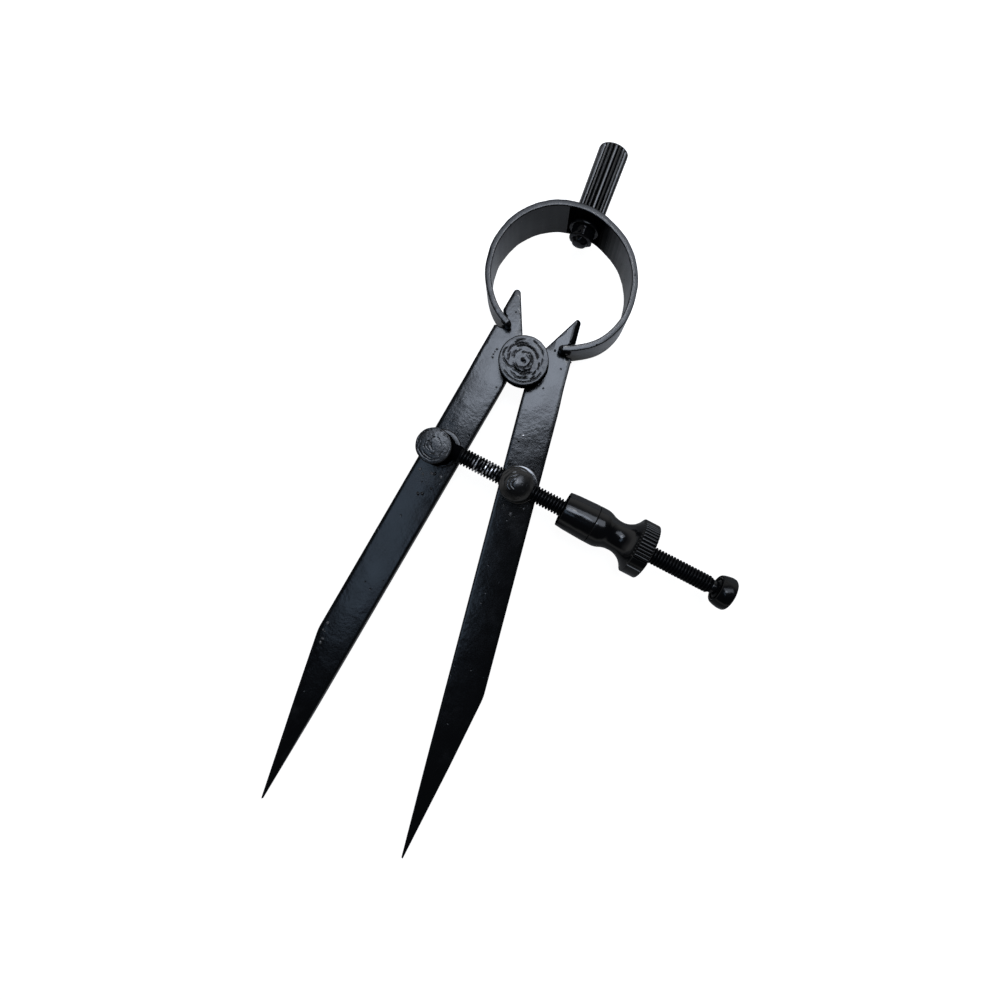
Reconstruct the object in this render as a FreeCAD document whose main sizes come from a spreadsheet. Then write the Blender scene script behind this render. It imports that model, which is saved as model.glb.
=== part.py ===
import FreeCAD
import Part
import math
import os
import Sketcher

# Spring divider with a flat bow spring, lying on its back. Millimetres.
# The pivot axis is Z, the handle points to +Y and the adjusting nut to +X.
# Z = 0 is the plane of the rear head of the fulcrum and of the rear edge of the bow.

DRIVING_SIZES = {
    # whole tool
    "leg_reach": 203.2,
    "half_opening_angle": 7.83,
    "bow_width": 19.0,
    # legs, in each leg's own frame: outward from the pivot line, and up along the leg
    "leg_inner": 2.75,
    "leg_outer": 17.9,
    "leg_thickness": 6.0,
    "taper_start": 131.4,
    "point_width": 0.7,
    "point_thickness": 0.9,
    "thinning_length": 42.0,
    "left_throat_rise": 4.8,
    "right_throat_rise": 2.2,
    "throat_angle": 32.8,
    "left_horn_round": 1.5,
    "right_horn_round": 1.25,
    "seat_mouth": 6.4,
    "seat_depth": 3.0,
    "seat_lower_step": 0.3,
    "seat_upper_step": 1.9,
    "left_seat_rise": 11.5,
    "right_seat_rise": 10.4,
    "leg_edge_round": 0.35,
    # fulcrum
    "neck_radius": 5.6,
    "head_radius": 9.55,
    "rear_head_radius": 6.9,
    "front_head_height": 9.0,
    "head_chamfer": 0.5,
    "pivot_clearance": 0.05,
    "side_clearance": 0.08,
    # bow spring
    "bow_radius": 28.3,
    "bow_thickness": 2.4,
    "bow_centre_rise": 35.0,
    "bow_side_shift": 0.8,
    "bow_end_radius": 25.0,
    "bow_turn_angle": 95.0,
    "bow_end_angle": 162.6,
    "fork_clearance": 0.15,
    # handle and its nut
    "handle_radius": 5.9,
    "handle_length": 29.3,
    "handle_round": 1.6,
    "handle_lean_angle": 1.76,
    "handle_side_shift": 1.5,
    "handle_stand": 0.06,
    "flute_count": 20.0,
    "flute_radius": 0.62,
    "flute_depth": 0.5,
    "tenon_radius": 3.4,
    "tenon_clearance": 0.05,
    "bow_hole_clearance": 0.2,
    "saddle_washer_radius": 6.1,
    "saddle_washer_thickness": 1.5,
    "handle_nut_width": 9.4,
    "handle_nut_height": 4.2,
    "tenon_stub": 2.2,
    # posts that carry the screw
    "left_post_out": 11.9,
    "left_post_drop": 45.2,
    "right_post_out": 9.3,
    "right_post_drop": 46.2,
    "post_radius": 6.7,
    "post_height": 14.0,
    "left_crown": 0.9,
    "right_crown": 3.2,
    "collar_radius": 7.7,
    "collar_thickness": 1.3,
    "shank_radius": 3.2,
    "back_washer_radius": 5.6,
    "back_washer_thickness": 1.0,
    "rivet_radius": 4.6,
    "rivet_height": 1.5,
    # adjusting screw, set by where it crosses the two posts
    "screw_rise": 6.0,
    "screw_angle": 5.0,
    "screw_radius": 3.175,
    "screw_fit": 0.025,
    "left_post_offset": 1.58,
    "right_post_slack": 0.45,
    "right_post_offset": 0.2,
    "screw_tail": 6.0,
    "thread_start": 12.0,
    "thread_end": 117.4,
    "thread_pitch": 1.27,
    "thread_depth": 0.72,
    "screw_neck_radius": 2.7,
    "screw_spigot_radius": 2.2,
    "screw_spigot_length": 4.5,
    "pin_radius": 1.0,
    # cap, sleeve and nut, by their distance along the screw from the left post
    "cap_start": 119.2,
    "cap_length": 7.8,
    "cap_root_radius": 6.3,
    "cap_radius": 6.7,
    "cap_round": 2.6,
    "sleeve_start": 53.7,
    "sleeve_length": 12.55,
    "sleeve_tip_radius": 7.0,
    "sleeve_radius": 7.68,
    "sleeve_clearance": 0.1,
    "seam_gap": 0.05,
    "nut_body_length": 4.0,
    "nut_waist_radius": 5.95,
    "nut_waist_at": 10.9,
    "nut_flare_at": 17.1,
    "nut_flare_radius": 10.4,
    "flange_radius": 11.15,
    "flange_length": 5.9,
    "nut_clearance": 0.1,
    "knurl_count": 48.0,
    "knurl_depth": 0.6,
    "knurl_half_width": 0.5,
}

doc = FreeCAD.newDocument("spring_divider")
sheet = doc.addObject("Spreadsheet::Sheet", "Sizes")


class Size:
    """A number together with the sheet formula that it comes from."""

    def __init__(self, formula, value):
        self.formula = formula
        self.value = value

    def joined(self, sign, other, value):
        return Size(f"({self.formula} {sign} {other.formula})", value)

    def __add__(self, other):
        other = plain(other)
        return self.joined("+", other, self.value + other.value)

    def __sub__(self, other):
        other = plain(other)
        return self.joined("-", other, self.value - other.value)

    def __mul__(self, other):
        other = plain(other)
        return self.joined("*", other, self.value * other.value)

    def __truediv__(self, other):
        other = plain(other)
        return self.joined("/", other, self.value / other.value)

    def __neg__(self):
        return plain(0) - self


def plain(value):
    """Any number as a Size."""
    return value if isinstance(value, Size) else Size(repr(float(value)), float(value))


def sine(angle):
    return Size(f"sin({angle.formula} * 1 deg)", math.sin(math.radians(angle.value)))


def cosine(angle):
    return Size(f"cos({angle.formula} * 1 deg)", math.cos(math.radians(angle.value)))


def tangent(angle):
    return Size(f"tan({angle.formula} * 1 deg)", math.tan(math.radians(angle.value)))


def whole(size):
    return Size(f"floor({size.formula})", math.floor(size.value))


def fill_sheet():
    """Write the driving sizes to the sheet and return them as Sizes by name."""
    sizes = {}
    for row, (name, value) in enumerate(DRIVING_SIZES.items(), start=1):
        sheet.set(f"A{row}", name)
        sheet.set(f"B{row}", str(value))
        sheet.setAlias(f"B{row}", name)
        sizes[name] = Size(f"Sizes.{name}", value)
    doc.recompute()
    return sizes


size = fill_sheet()
half_thickness = size["leg_thickness"] / 2
half_bow = size["bow_width"] / 2
LARGE_CUT = size["bow_width"] * 4


def new_body(label):
    body = doc.addObject("PartDesign::Body", label)
    body.Label = label
    return body


def place(body, x=0, y=0, z=0, turn=0):
    """Put a body at a point, turned about Z by an angle in degrees."""
    angle = plain(turn)
    body.Placement = FreeCAD.Placement(FreeCAD.Vector(), FreeCAD.Rotation(FreeCAD.Vector(0, 0, 1), 1))
    for axis, distance in (("x", x), ("y", y), ("z", z)):
        body.setExpression(f"Placement.Base.{axis}", plain(distance).formula)
    body.setExpression("Placement.Rotation.Angle", f"{angle.formula} * 1 deg")


def new_sketch(body, plane, name, rise=0):
    """A sketch on one of the body's own origin planes, moved off along its normal."""
    sketch = body.newObject("Sketcher::SketchObject", name)
    for feature in body.Origin.OriginFeatures:
        if feature.Role == plane:
            sketch.AttachmentSupport = [(feature, "")]
    sketch.MapMode = "FlatFace"
    if plain(rise).value != 0:
        sketch.setExpression("AttachmentOffset.Base.z", plain(rise).formula)
    return sketch


def hold_point(sketch, item, end, point):
    """Fix one end of a sketch line or arc at a point given by two Sizes."""
    origin = -1
    for kind, distance in (("DistanceX", plain(point[0])), ("DistanceY", plain(point[1]))):
        if abs(distance.value) < 1e-9:
            axis = -2 if kind == "DistanceX" else -1
            sketch.addConstraint(Sketcher.Constraint("PointOnObject", item, end, axis))
            continue
        index = sketch.addConstraint(Sketcher.Constraint(kind, origin, 1, item, end, distance.value))
        sketch.setExpression(f"Constraints[{index}]", distance.formula)


def bend(start, finish, radius, side):
    """An arc between two points, bulging to the left of its travel for side 1, right for -1."""
    chord = finish - start
    left = FreeCAD.Vector(-chord.y, chord.x, 0).normalize()
    rise = math.sqrt(radius * radius - chord.Length * chord.Length / 4)
    centre = (start + finish) / 2 - left * (side * rise)
    first, last = (start, finish) if side < 0 else (finish, start)
    angles = [math.atan2(point.y - centre.y, point.x - centre.x) for point in (first, last)]
    return Part.ArcOfCircle(Part.Circle(centre, FreeCAD.Vector(0, 0, 1), radius), *angles)


def outline(sketch, points, bends=None):
    """A closed outline through points. bends maps the index of the point at which an arc
    starts to the arc's radius and the side to which it bulges."""
    bends = bends or {}
    vectors = [FreeCAD.Vector(plain(x).value, plain(y).value, 0) for x, y in points]
    items = []
    for index, start in enumerate(vectors):
        finish = vectors[(index + 1) % len(vectors)]
        if index in bends:
            radius, side = bends[index]
            item = sketch.addGeometry(bend(start, finish, radius.value, side), False)
            items.append((item, 1, 2) if side < 0 else (item, 2, 1))
        else:
            item = sketch.addGeometry(Part.LineSegment(start, finish), False)
            items.append((item, 1, 2))
    for index, (item, start_end, finish_end) in enumerate(items):
        next_item, next_start, next_finish = items[(index + 1) % len(items)]
        sketch.addConstraint(Sketcher.Constraint("Coincident", item, finish_end, next_item, next_start))
        hold_point(sketch, item, start_end, points[index])
    for index, (radius, side) in bends.items():
        row = sketch.addConstraint(Sketcher.Constraint("Radius", items[index][0], radius.value))
        sketch.setExpression(f"Constraints[{row}]", radius.formula)


def ring(sketch, centre, radius):
    """A circle at a point given by two Sizes."""
    x, y = plain(centre[0]), plain(centre[1])
    circle = Part.Circle(FreeCAD.Vector(x.value, y.value, 0), FreeCAD.Vector(0, 0, 1), plain(radius).value)
    item = sketch.addGeometry(circle, False)
    hold_point(sketch, item, 3, centre)
    row = sketch.addConstraint(Sketcher.Constraint("Radius", item, plain(radius).value))
    sketch.setExpression(f"Constraints[{row}]", plain(radius).formula)


def pad(body, sketch, length):
    """Extrude a sketch to both sides of its plane by a whole length."""
    feature = body.newObject("PartDesign::Pad", f"{sketch.Name}_pad")
    feature.Profile = sketch
    feature.SideType = "Symmetric"
    feature.setExpression("Length", plain(length).formula)
    doc.recompute()
    return feature


def cut_through(body, sketch, length=LARGE_CUT):
    """Cut a sketch to both sides of its plane by a whole length."""
    before = body.Shape.Volume
    feature = body.newObject("PartDesign::Pocket", f"{sketch.Name}_cut")
    feature.Profile = sketch
    feature.SideType = "Symmetric"
    feature.setExpression("Length", plain(length).formula)
    doc.recompute()
    if not body.Shape.Volume < before:
        raise RuntimeError(f"{feature.Name} cut nothing")
    return feature


def turn(body, sketch, axis):
    """Revolve a sketch about its own axis, to add material."""
    feature = body.newObject("PartDesign::Revolution", f"{sketch.Name}_turned")
    feature.Profile = sketch
    feature.ReferenceAxis = (sketch, [axis])
    feature.Angle = 360
    doc.recompute()
    return feature


def groove(body, sketch, axis):
    """Revolve a sketch about its own axis, to take material away."""
    before = body.Shape.Volume
    feature = body.newObject("PartDesign::Groove", f"{sketch.Name}_groove")
    feature.Profile = sketch
    feature.ReferenceAxis = (sketch, [axis])
    feature.Angle = 360
    doc.recompute()
    if not body.Shape.Volume < before:
        raise RuntimeError(f"{feature.Name} cut nothing")
    return feature


def repeat_round(body, feature, axis, count):
    """Repeat a feature evenly round an axis."""
    pattern = body.newObject("PartDesign::PolarPattern", f"{feature.Name}_round")
    pattern.Originals = [feature]
    pattern.Axis = axis
    pattern.Angle = 360
    pattern.setExpression("Occurrences", plain(count).formula)
    body.Tip = pattern
    doc.recompute()
    return pattern


def repeat_along(body, feature, axis, spacing, count):
    """Repeat a feature along an axis at an even spacing."""
    pattern = body.newObject("PartDesign::LinearPattern", f"{feature.Name}_row")
    pattern.Originals = [feature]
    pattern.Direction = axis
    pattern.setExpression("Length", (spacing * (count - 1)).formula)
    pattern.setExpression("Occurrences", count.formula)
    body.Tip = pattern
    doc.recompute()
    return pattern


def soften(body, kind, amount, wanted):
    """Fillet or chamfer the edges of a body that the test wants."""
    base = body.Tip
    names = [f"Edge{i}" for i, edge in enumerate(base.Shape.Edges, start=1) if wanted(edge)]
    feature = body.newObject(f"PartDesign::{kind}", f"{body.Name}_{kind.lower()}")
    feature.Base = (base, names)
    feature.setExpression("Radius" if kind == "Fillet" else "Size", plain(amount).formula)
    body.Tip = feature
    doc.recompute()
    return feature


def body_axis(body, role):
    """One of a body's own origin axes, for a pattern."""
    for feature in body.Origin.OriginFeatures:
        if feature.Role == role:
            return (feature, [""])
    raise RuntimeError(f"{body.Name} has no {role}")


def leg_point(side, out, up):
    """A point of a leg's frame, in the tool's frame. side is 1 on the right, -1 on the left."""
    lean = size["half_opening_angle"]
    x = (out * cosine(lean) - up * sine(lean)) * side
    y = out * sine(lean) + up * cosine(lean)
    return x, y


left_post_at = leg_point(-1, size["left_post_out"], -size["left_post_drop"])
right_post_at = leg_point(1, size["right_post_out"], -size["right_post_drop"])
screw_height = half_bow + half_thickness + size["screw_rise"]


def straight_edge(x, side):
    """A test for the long edges of a leg's face at a distance out from the pivot line."""

    def wanted(edge):
        if edge.Curve.TypeId != "Part::GeomLine":
            return False
        ends = [vertex.Point for vertex in edge.Vertexes]
        on_line = all(abs(end.x - side * x) < 1e-4 for end in ends)
        on_face = all(abs(abs(end.z) - half_thickness.value) < 1e-4 for end in ends)
        return on_line and on_face and edge.Length > 1

    return wanted


def make_leg(label, side, throat_rise, horn_round, seat_rise, post_out, post_drop):
    """A flat leg: needle point, tapered blade, horn, seat for the bow and half hole for the fulcrum."""
    body = new_body(label)
    inner, outer, reach = size["leg_inner"], size["leg_outer"], size["leg_reach"]
    seat_floor = outer - size["seat_depth"]
    half_mouth = size["seat_mouth"] / 2
    horn_rise = throat_rise + (outer - inner) / tangent(size["throat_angle"])
    shape = [
        (inner, -reach),
        (inner + size["point_width"], -reach),
        (outer, -size["taper_start"]),
        (outer, seat_rise - half_mouth),
        (seat_floor, seat_rise - half_mouth + size["seat_lower_step"]),
        (seat_floor, seat_rise + half_mouth - size["seat_upper_step"]),
        (outer, seat_rise + half_mouth),
        (outer, horn_rise),
        (inner, throat_rise),
    ]
    plate = new_sketch(body, "XY_Plane", f"{label}_outline")
    outline(plate, [(out * side, up) for out, up in shape])
    pad(body, plate, size["leg_thickness"])

    bearing = new_sketch(body, "XY_Plane", f"{label}_bearing")
    ring(bearing, (0, 0), size["neck_radius"] + size["pivot_clearance"])
    cut_through(body, bearing)

    hole = new_sketch(body, "XY_Plane", f"{label}_post_hole")
    ring(hole, (post_out * side, -post_drop), size["shank_radius"] + size["pivot_clearance"])
    cut_through(body, hole)

    thinning = new_sketch(body, "YZ_Plane", f"{label}_thinning")
    start = size["thinning_length"] - reach
    beyond = -reach - size["point_width"]
    half_point = size["point_thickness"] / 2
    clear = half_thickness * 2
    for up in (1, -1):
        wedge = [(start, half_thickness * up), (-reach, half_point * up), (beyond, half_point * up)]
        wedge += [(beyond, clear * up), (start, clear * up)]
        outline(thinning, wedge)
    cut_through(body, thinning)

    def horn_tip(edge):
        ends = [vertex.Point for vertex in edge.Vertexes]
        upright = len(ends) == 2 and abs(ends[0].z - ends[1].z) > half_thickness.value
        return upright and abs(ends[0].y - horn_rise.value) < 1e-4

    soften(body, "Fillet", horn_round, horn_tip)
    on_outer, on_inner = (straight_edge(edge_at.value, side) for edge_at in (outer, inner))
    soften(body, "Fillet", size["leg_edge_round"], lambda edge: on_outer(edge) or on_inner(edge))
    place(body, z=half_bow, turn=size["half_opening_angle"] * side)
    return body


def make_fulcrum():
    """A turned spool: the legs bear on its neck, between a large front head and a small rear one."""
    body = new_body("fulcrum")
    neck = half_thickness + size["side_clearance"]
    bevel = size["head_chamfer"]
    head, rear_head = size["head_radius"], size["rear_head_radius"]
    top = half_thickness + size["front_head_height"]
    profile = [
        (0, -half_bow),
        (rear_head, -half_bow),
        (rear_head, -neck),
        (size["neck_radius"], -neck),
        (size["neck_radius"], neck),
        (head, neck),
        (head, top - bevel),
        (head - bevel, top),
        (0, top),
    ]
    sketch = new_sketch(body, "XZ_Plane", "fulcrum_profile")
    outline(sketch, profile)
    turn(body, sketch, "V_Axis")
    place(body, z=half_bow)
    return body


def bow_point(side, radius_step, angle, on_end):
    """A point of the bow's strip at an angle from the handle, radius_step out of its middle line."""
    shift = size["bow_radius"] - size["bow_end_radius"]
    turn_at = size["bow_turn_angle"]
    if on_end:
        radius = size["bow_end_radius"] + radius_step
        x = shift * sine(turn_at) + radius * sine(angle)
        y = size["bow_centre_rise"] + shift * cosine(turn_at) + radius * cosine(angle)
    else:
        radius = size["bow_radius"] + radius_step
        x = radius * sine(angle)
        y = size["bow_centre_rise"] + radius * cosine(angle)
    return x * side, y


def make_bow():
    """The C of flat strip whose forked ends straddle the legs."""
    body = new_body("bow_spring")
    half = size["bow_thickness"] / 2
    turn_at, end_at, top = size["bow_turn_angle"], size["bow_end_angle"], plain(0)
    points, bends = [], {}
    for step, near, far in ((half, -1, 1), (-half, 1, -1)):
        radii = [size["bow_end_radius"], size["bow_radius"], size["bow_radius"], size["bow_end_radius"]]
        for index, radius in enumerate(radii, start=len(points)):
            bends[index] = (radius + step, far)
        points += [
            bow_point(near, step, end_at, True),
            bow_point(near, step, turn_at, False),
            bow_point(near, step, top, False),
            bow_point(far, step, turn_at, False),
            bow_point(far, step, end_at, True),
        ]
    strip = new_sketch(body, "XY_Plane", "bow_strip")
    outline(strip, points, bends)
    pad(body, strip, size["bow_width"])

    # the slot of each fork takes the leg's thickness down to the seat in the leg's outer edge
    slot = new_sketch(body, "XY_Plane", "bow_fork")
    for side in (-1, 1):
        floor = size["leg_outer"] - size["seat_depth"] + size["fork_clearance"]
        low_x, low_y = leg_point(side, floor, plain(0))
        high_x, high_y = leg_point(side, floor, size["leg_outer"])
        far_x, far_y = leg_point(side, size["leg_inner"], size["leg_outer"])
        near_x, near_y = leg_point(side, size["leg_inner"], plain(0))
        shift = size["bow_side_shift"]
        corners = [(low_x, low_y), (high_x, high_y), (far_x, far_y), (near_x, near_y)]
        outline(slot, [(x - shift, y) for x, y in corners])
    cut_through(body, slot, size["leg_thickness"] + size["fork_clearance"] * 2)

    crown = size["bow_centre_rise"] + size["bow_radius"]
    hole = new_sketch(body, "XZ_Plane", "bow_tenon_hole", rise=-crown)
    middle = size["handle_side_shift"] - size["bow_side_shift"]
    ring(hole, (middle, 0), size["tenon_radius"] + size["bow_hole_clearance"])
    cut_through(body, hole, size["bow_thickness"] * 3)
    place(body, x=size["bow_side_shift"], z=half_bow)
    return body


bow_outside = size["bow_centre_rise"] + size["bow_radius"] + size["bow_thickness"] / 2


def place_on_handle(body):
    """The handle group's frame: its origin where the handle's axis meets the bow's outer face."""
    rise = bow_outside + size["handle_stand"]
    place(body, x=size["handle_side_shift"], y=rise, z=half_bow, turn=size["handle_lean_angle"])


def make_handle():
    """Fluted grip with a tenon that goes through the bow and is peened over the nut."""
    body = new_body("handle")
    grip, length = size["handle_radius"], size["handle_length"]
    tenon = size["tenon_radius"]
    washer, nut = size["saddle_washer_thickness"], size["handle_nut_height"]
    stub_end = -(size["bow_thickness"] + saddle_gap() + washer + nut + size["tenon_stub"])
    rim = size["handle_round"]
    profile = [
        (0, stub_end),
        (tenon - size["head_chamfer"] * 2, stub_end),
        (tenon, stub_end + size["head_chamfer"] * 2),
        (tenon, 0),
        (grip, 0),
        (grip, length - rim),
        (grip - rim * 1.6, length),
        (0, length),
    ]
    sketch = new_sketch(body, "XY_Plane", "handle_profile")
    outline(sketch, profile, {5: (rim * 1.9, -1)})
    turn(body, sketch, "V_Axis")

    flute = new_sketch(body, "XZ_Plane", "handle_flute")
    ring(flute, (grip + size["flute_radius"] - size["flute_depth"], 0), size["flute_radius"])
    feature = cut_through(body, flute, length * 2 + size["bow_thickness"])
    repeat_round(body, feature, body_axis(body, "Y_Axis"), size["flute_count"])
    place_on_handle(body)
    return body


def saddle_gap():
    """How far a flat washer stands off the middle of the bow's hollow inner face."""
    inner = size["bow_radius"] - size["bow_thickness"] / 2
    radius = size["saddle_washer_radius"]
    reach = radius + size["handle_side_shift"] - size["bow_side_shift"]
    tilt = radius * sine(size["handle_lean_angle"])
    return reach * reach / (inner * 2) + tilt + size["handle_stand"] + size["side_clearance"]


def make_washer(label, radius, bore, low, thickness, axis_plane="XZ_Plane"):
    """A flat washer, turned about the upright axis of its sketch."""
    body = new_body(label)
    sketch = new_sketch(body, axis_plane, f"{label}_profile")
    high = low + thickness
    outline(sketch, [(bore, low), (radius, low), (radius, high), (bore, high)])
    turn(body, sketch, "V_Axis")
    return body


def make_handle_washer():
    low = -(size["bow_thickness"] + saddle_gap() + size["saddle_washer_thickness"])
    bore = size["tenon_radius"] + size["tenon_clearance"]
    radius, thickness = size["saddle_washer_radius"], size["saddle_washer_thickness"]
    body = make_washer("handle_washer", radius, bore, low, thickness, "XY_Plane")
    place_on_handle(body)
    return body


def make_handle_nut():
    """Hexagon nut inside the bow."""
    body = new_body("handle_nut")
    top = size["bow_thickness"] + saddle_gap() + size["saddle_washer_thickness"]
    corner = size["handle_nut_width"] / 2 / cosine(plain(30))
    sketch = new_sketch(body, "XZ_Plane", "handle_nut_hexagon", rise=top + size["handle_nut_height"] / 2)
    angles = [plain(60 * step) for step in range(6)]
    outline(sketch, [(corner * cosine(angle), corner * sine(angle)) for angle in angles])
    pad(body, sketch, size["handle_nut_height"])
    bore = new_sketch(body, "XZ_Plane", "handle_nut_bore")
    ring(bore, (0, 0), size["tenon_radius"] + size["tenon_clearance"])
    cut_through(body, bore)
    place_on_handle(body)
    return body


def make_post(label, side, crown, offset, hole_radius):
    """A swivel post: crowned head, cross hole for the screw, shank through the leg, riveted end."""
    body = new_body(label)
    gap = size["side_clearance"]
    seat = half_thickness + size["collar_thickness"] + gap
    top = half_thickness + size["post_height"]
    back = -(half_thickness + gap + size["back_washer_thickness"])
    rivet, bevel = size["rivet_radius"], size["head_chamfer"]
    radius, shank = size["post_radius"], size["shank_radius"]
    profile = [
        (0, back - size["rivet_height"]),
        (rivet - bevel * 2, back - size["rivet_height"]),
        (rivet, back - size["rivet_height"] + bevel * 2),
        (rivet, back),
        (shank, back),
        (shank, seat),
        (radius, seat),
        (radius, top - crown),
        (0, top),
    ]
    dome_radius = (radius * radius + crown * crown) / (crown * 2)
    sketch = new_sketch(body, "XZ_Plane", f"{label}_profile")
    outline(sketch, profile, {7: (dome_radius, -1)})
    turn(body, sketch, "V_Axis")

    hole = new_sketch(body, "YZ_Plane", f"{label}_cross_hole")
    ring(hole, (offset, half_thickness + size["screw_rise"]), hole_radius)
    cut_through(body, hole, radius * 4)
    x, y = left_post_at if side < 0 else right_post_at
    place(body, x=x, y=y, z=half_bow, turn=-size["screw_angle"])
    return body


def make_post_washers(side, name):
    """The collar under a post's head and the washer behind the leg."""
    x, y = left_post_at if side < 0 else right_post_at
    bore = size["shank_radius"] + size["pivot_clearance"]
    collar = make_washer(
        f"{name}_collar", size["collar_radius"], bore, half_thickness, size["collar_thickness"]
    )
    place(collar, x=x, y=y, z=half_bow)
    low = -(half_thickness + size["side_clearance"] / 2 + size["back_washer_thickness"])
    back = make_washer(
        f"{name}_back_washer", size["back_washer_radius"], bore, low, size["back_washer_thickness"]
    )
    place(back, x=x, y=y, z=half_bow)
    return [collar, back]


def place_on_screw(body):
    """The screw group's frame: X along the screw, from abreast of the left post's axis."""
    angle, offset = size["screw_angle"], size["left_post_offset"]
    x, y = left_post_at
    place(body, x=x + offset * sine(angle), y=y + offset * cosine(angle), z=screw_height, turn=-angle)


def make_screw():
    """Plain tail in the left post, thread, thin neck and the spigot for the cap. The thread
    is drawn as grooves one pitch apart."""
    body = new_body("adjusting_screw")
    radius, neck = size["screw_radius"], size["screw_neck_radius"]
    spigot = size["screw_spigot_radius"]
    start, end, cap = size["thread_start"], size["thread_end"], size["cap_start"]
    depth, pitch = size["thread_depth"], size["thread_pitch"]
    profile = [
        (-size["screw_tail"], 0),
        (-size["screw_tail"], radius),
        (end, radius),
        (end + depth, neck),
        (cap, neck),
        (cap, spigot),
        (cap + size["screw_spigot_length"], spigot),
        (cap + size["screw_spigot_length"], 0),
    ]
    sketch = new_sketch(body, "XY_Plane", "screw_profile")
    outline(sketch, profile)
    turn(body, sketch, "H_Axis")

    above = radius + pitch / 16
    half_mouth = pitch * 7 / 16
    half_root = pitch / 16
    root = radius - depth
    middle = start + pitch / 2
    thread = new_sketch(body, "XY_Plane", "screw_thread")
    corners = [
        (middle - half_root, root),
        (middle + half_root, root),
        (middle + half_mouth, radius),
        (middle + half_mouth, above),
        (middle - half_mouth, above),
        (middle - half_mouth, radius),
    ]
    outline(thread, corners)
    feature = groove(body, thread, "H_Axis")
    count = whole((end - start) / pitch)
    repeat_along(body, feature, body_axis(body, "X_Axis"), pitch, count)

    pin_hole = new_sketch(body, "XZ_Plane", "screw_pin_hole", rise=-radius)
    ring(pin_hole, (0, 0), size["pin_radius"] + size["screw_fit"])
    cut_through(body, pin_hole, radius * 2)
    place_on_screw(body)
    return body


def make_cap():
    """Round cap on the end of the screw, which stops the nut from running off."""
    body = new_body("screw_cap")
    start, length = size["cap_start"], size["cap_length"]
    root, radius, rim = size["cap_root_radius"], size["cap_radius"], size["cap_round"]
    bore, depth = size["screw_spigot_radius"] + size["screw_fit"], size["screw_spigot_length"]
    bevel = size["head_chamfer"]
    profile = [
        (start, bore),
        (start, root - bevel),
        (start + bevel, root),
        (start + length - rim, radius),
        (start + length, radius - rim * 1.4),
        (start + length, 0),
        (start + depth + size["screw_fit"], 0),
        (start + depth + size["screw_fit"], bore),
    ]
    sketch = new_sketch(body, "XY_Plane", "cap_profile")
    outline(sketch, profile, {3: (rim * 1.7, 1)})
    turn(body, sketch, "H_Axis")
    place_on_screw(body)
    return body


def make_sleeve():
    """Plain thrust sleeve that the nut pushes against the right post."""
    body = new_body("thrust_sleeve")
    start, length = size["sleeve_start"], size["sleeve_length"]
    bore = size["screw_radius"] + size["sleeve_clearance"]
    profile = [
        (start, bore),
        (start, size["sleeve_tip_radius"]),
        (start + length * 0.7, size["sleeve_radius"]),
        (start + length, size["sleeve_radius"]),
        (start + length, bore),
    ]
    sketch = new_sketch(body, "XY_Plane", "sleeve_profile")
    outline(sketch, profile)
    turn(body, sketch, "H_Axis")
    place_on_screw(body)
    return body


def make_nut():
    """Adjusting nut: short barrel, hollow waist and knurled flange."""
    body = new_body("adjusting_nut")
    start = size["sleeve_start"] + size["sleeve_length"] + size["seam_gap"]
    bore = size["screw_radius"] + size["nut_clearance"]
    barrel, waist = size["sleeve_radius"], size["nut_waist_radius"]
    shoulder, waist_at = start + size["nut_body_length"], start + size["nut_waist_at"]
    flare_at, flare = start + size["nut_flare_at"], size["nut_flare_radius"]
    end = flare_at + size["flange_length"] + size["head_chamfer"]
    flange, bevel = size["flange_radius"], size["head_chamfer"]
    profile = [
        (start, bore),
        (start, barrel),
        (shoulder, barrel),
        (waist_at, waist),
        (flare_at, flare),
        (flare_at + bevel / 2, flange),
        (end - bevel / 2, flange),
        (end, flange - bevel),
        (end, bore),
    ]
    sketch = new_sketch(body, "XY_Plane", "nut_profile")
    hollows = {
        2: (cove(waist_at - shoulder, barrel - waist), -1),
        3: (cove(flare_at - waist_at, flare - waist), -1),
    }
    outline(sketch, profile, hollows)
    turn(body, sketch, "H_Axis")

    knurl = new_sketch(body, "YZ_Plane", "nut_knurl", rise=(flare_at + end) / 2)
    half, depth = size["knurl_half_width"], size["knurl_depth"]
    above = flange + bevel
    corners = [(half, above), (-half, above), (-half, flange), (0, flange - depth), (half, flange)]
    outline(knurl, corners)
    feature = cut_through(body, knurl, end - flare_at + bevel * 2)
    repeat_round(body, feature, body_axis(body, "X_Axis"), size["knurl_count"])
    place_on_screw(body)
    return body


def cove(run, rise):
    """Radius of a hollow that leaves the waist level and rises to an edge."""
    return (run * run + rise * rise) / (rise * 2)


def make_pin():
    """Round pin from the side of the left post into the middle of the screw's tail."""
    body = new_body("screw_pin")
    fit = size["screw_fit"]
    length = size["post_radius"] - size["left_post_offset"] - fit * 4
    sketch = new_sketch(body, "XZ_Plane", "screw_pin_end", rise=-(length / 2 + fit))
    ring(sketch, (0, 0), size["pin_radius"])
    pad(body, sketch, length)
    place_on_screw(body)
    return body


def drill_pin_hole(body):
    """The pin's hole from the side of the left post into the cross hole."""
    radius = size["post_radius"]
    rise = -(size["left_post_offset"] + radius)
    sketch = new_sketch(body, "XZ_Plane", "left_post_pin_hole", rise=rise)
    ring(sketch, (0, half_thickness + size["screw_rise"]), size["pin_radius"] + size["screw_fit"])
    cut_through(body, sketch, radius * 2)


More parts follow.
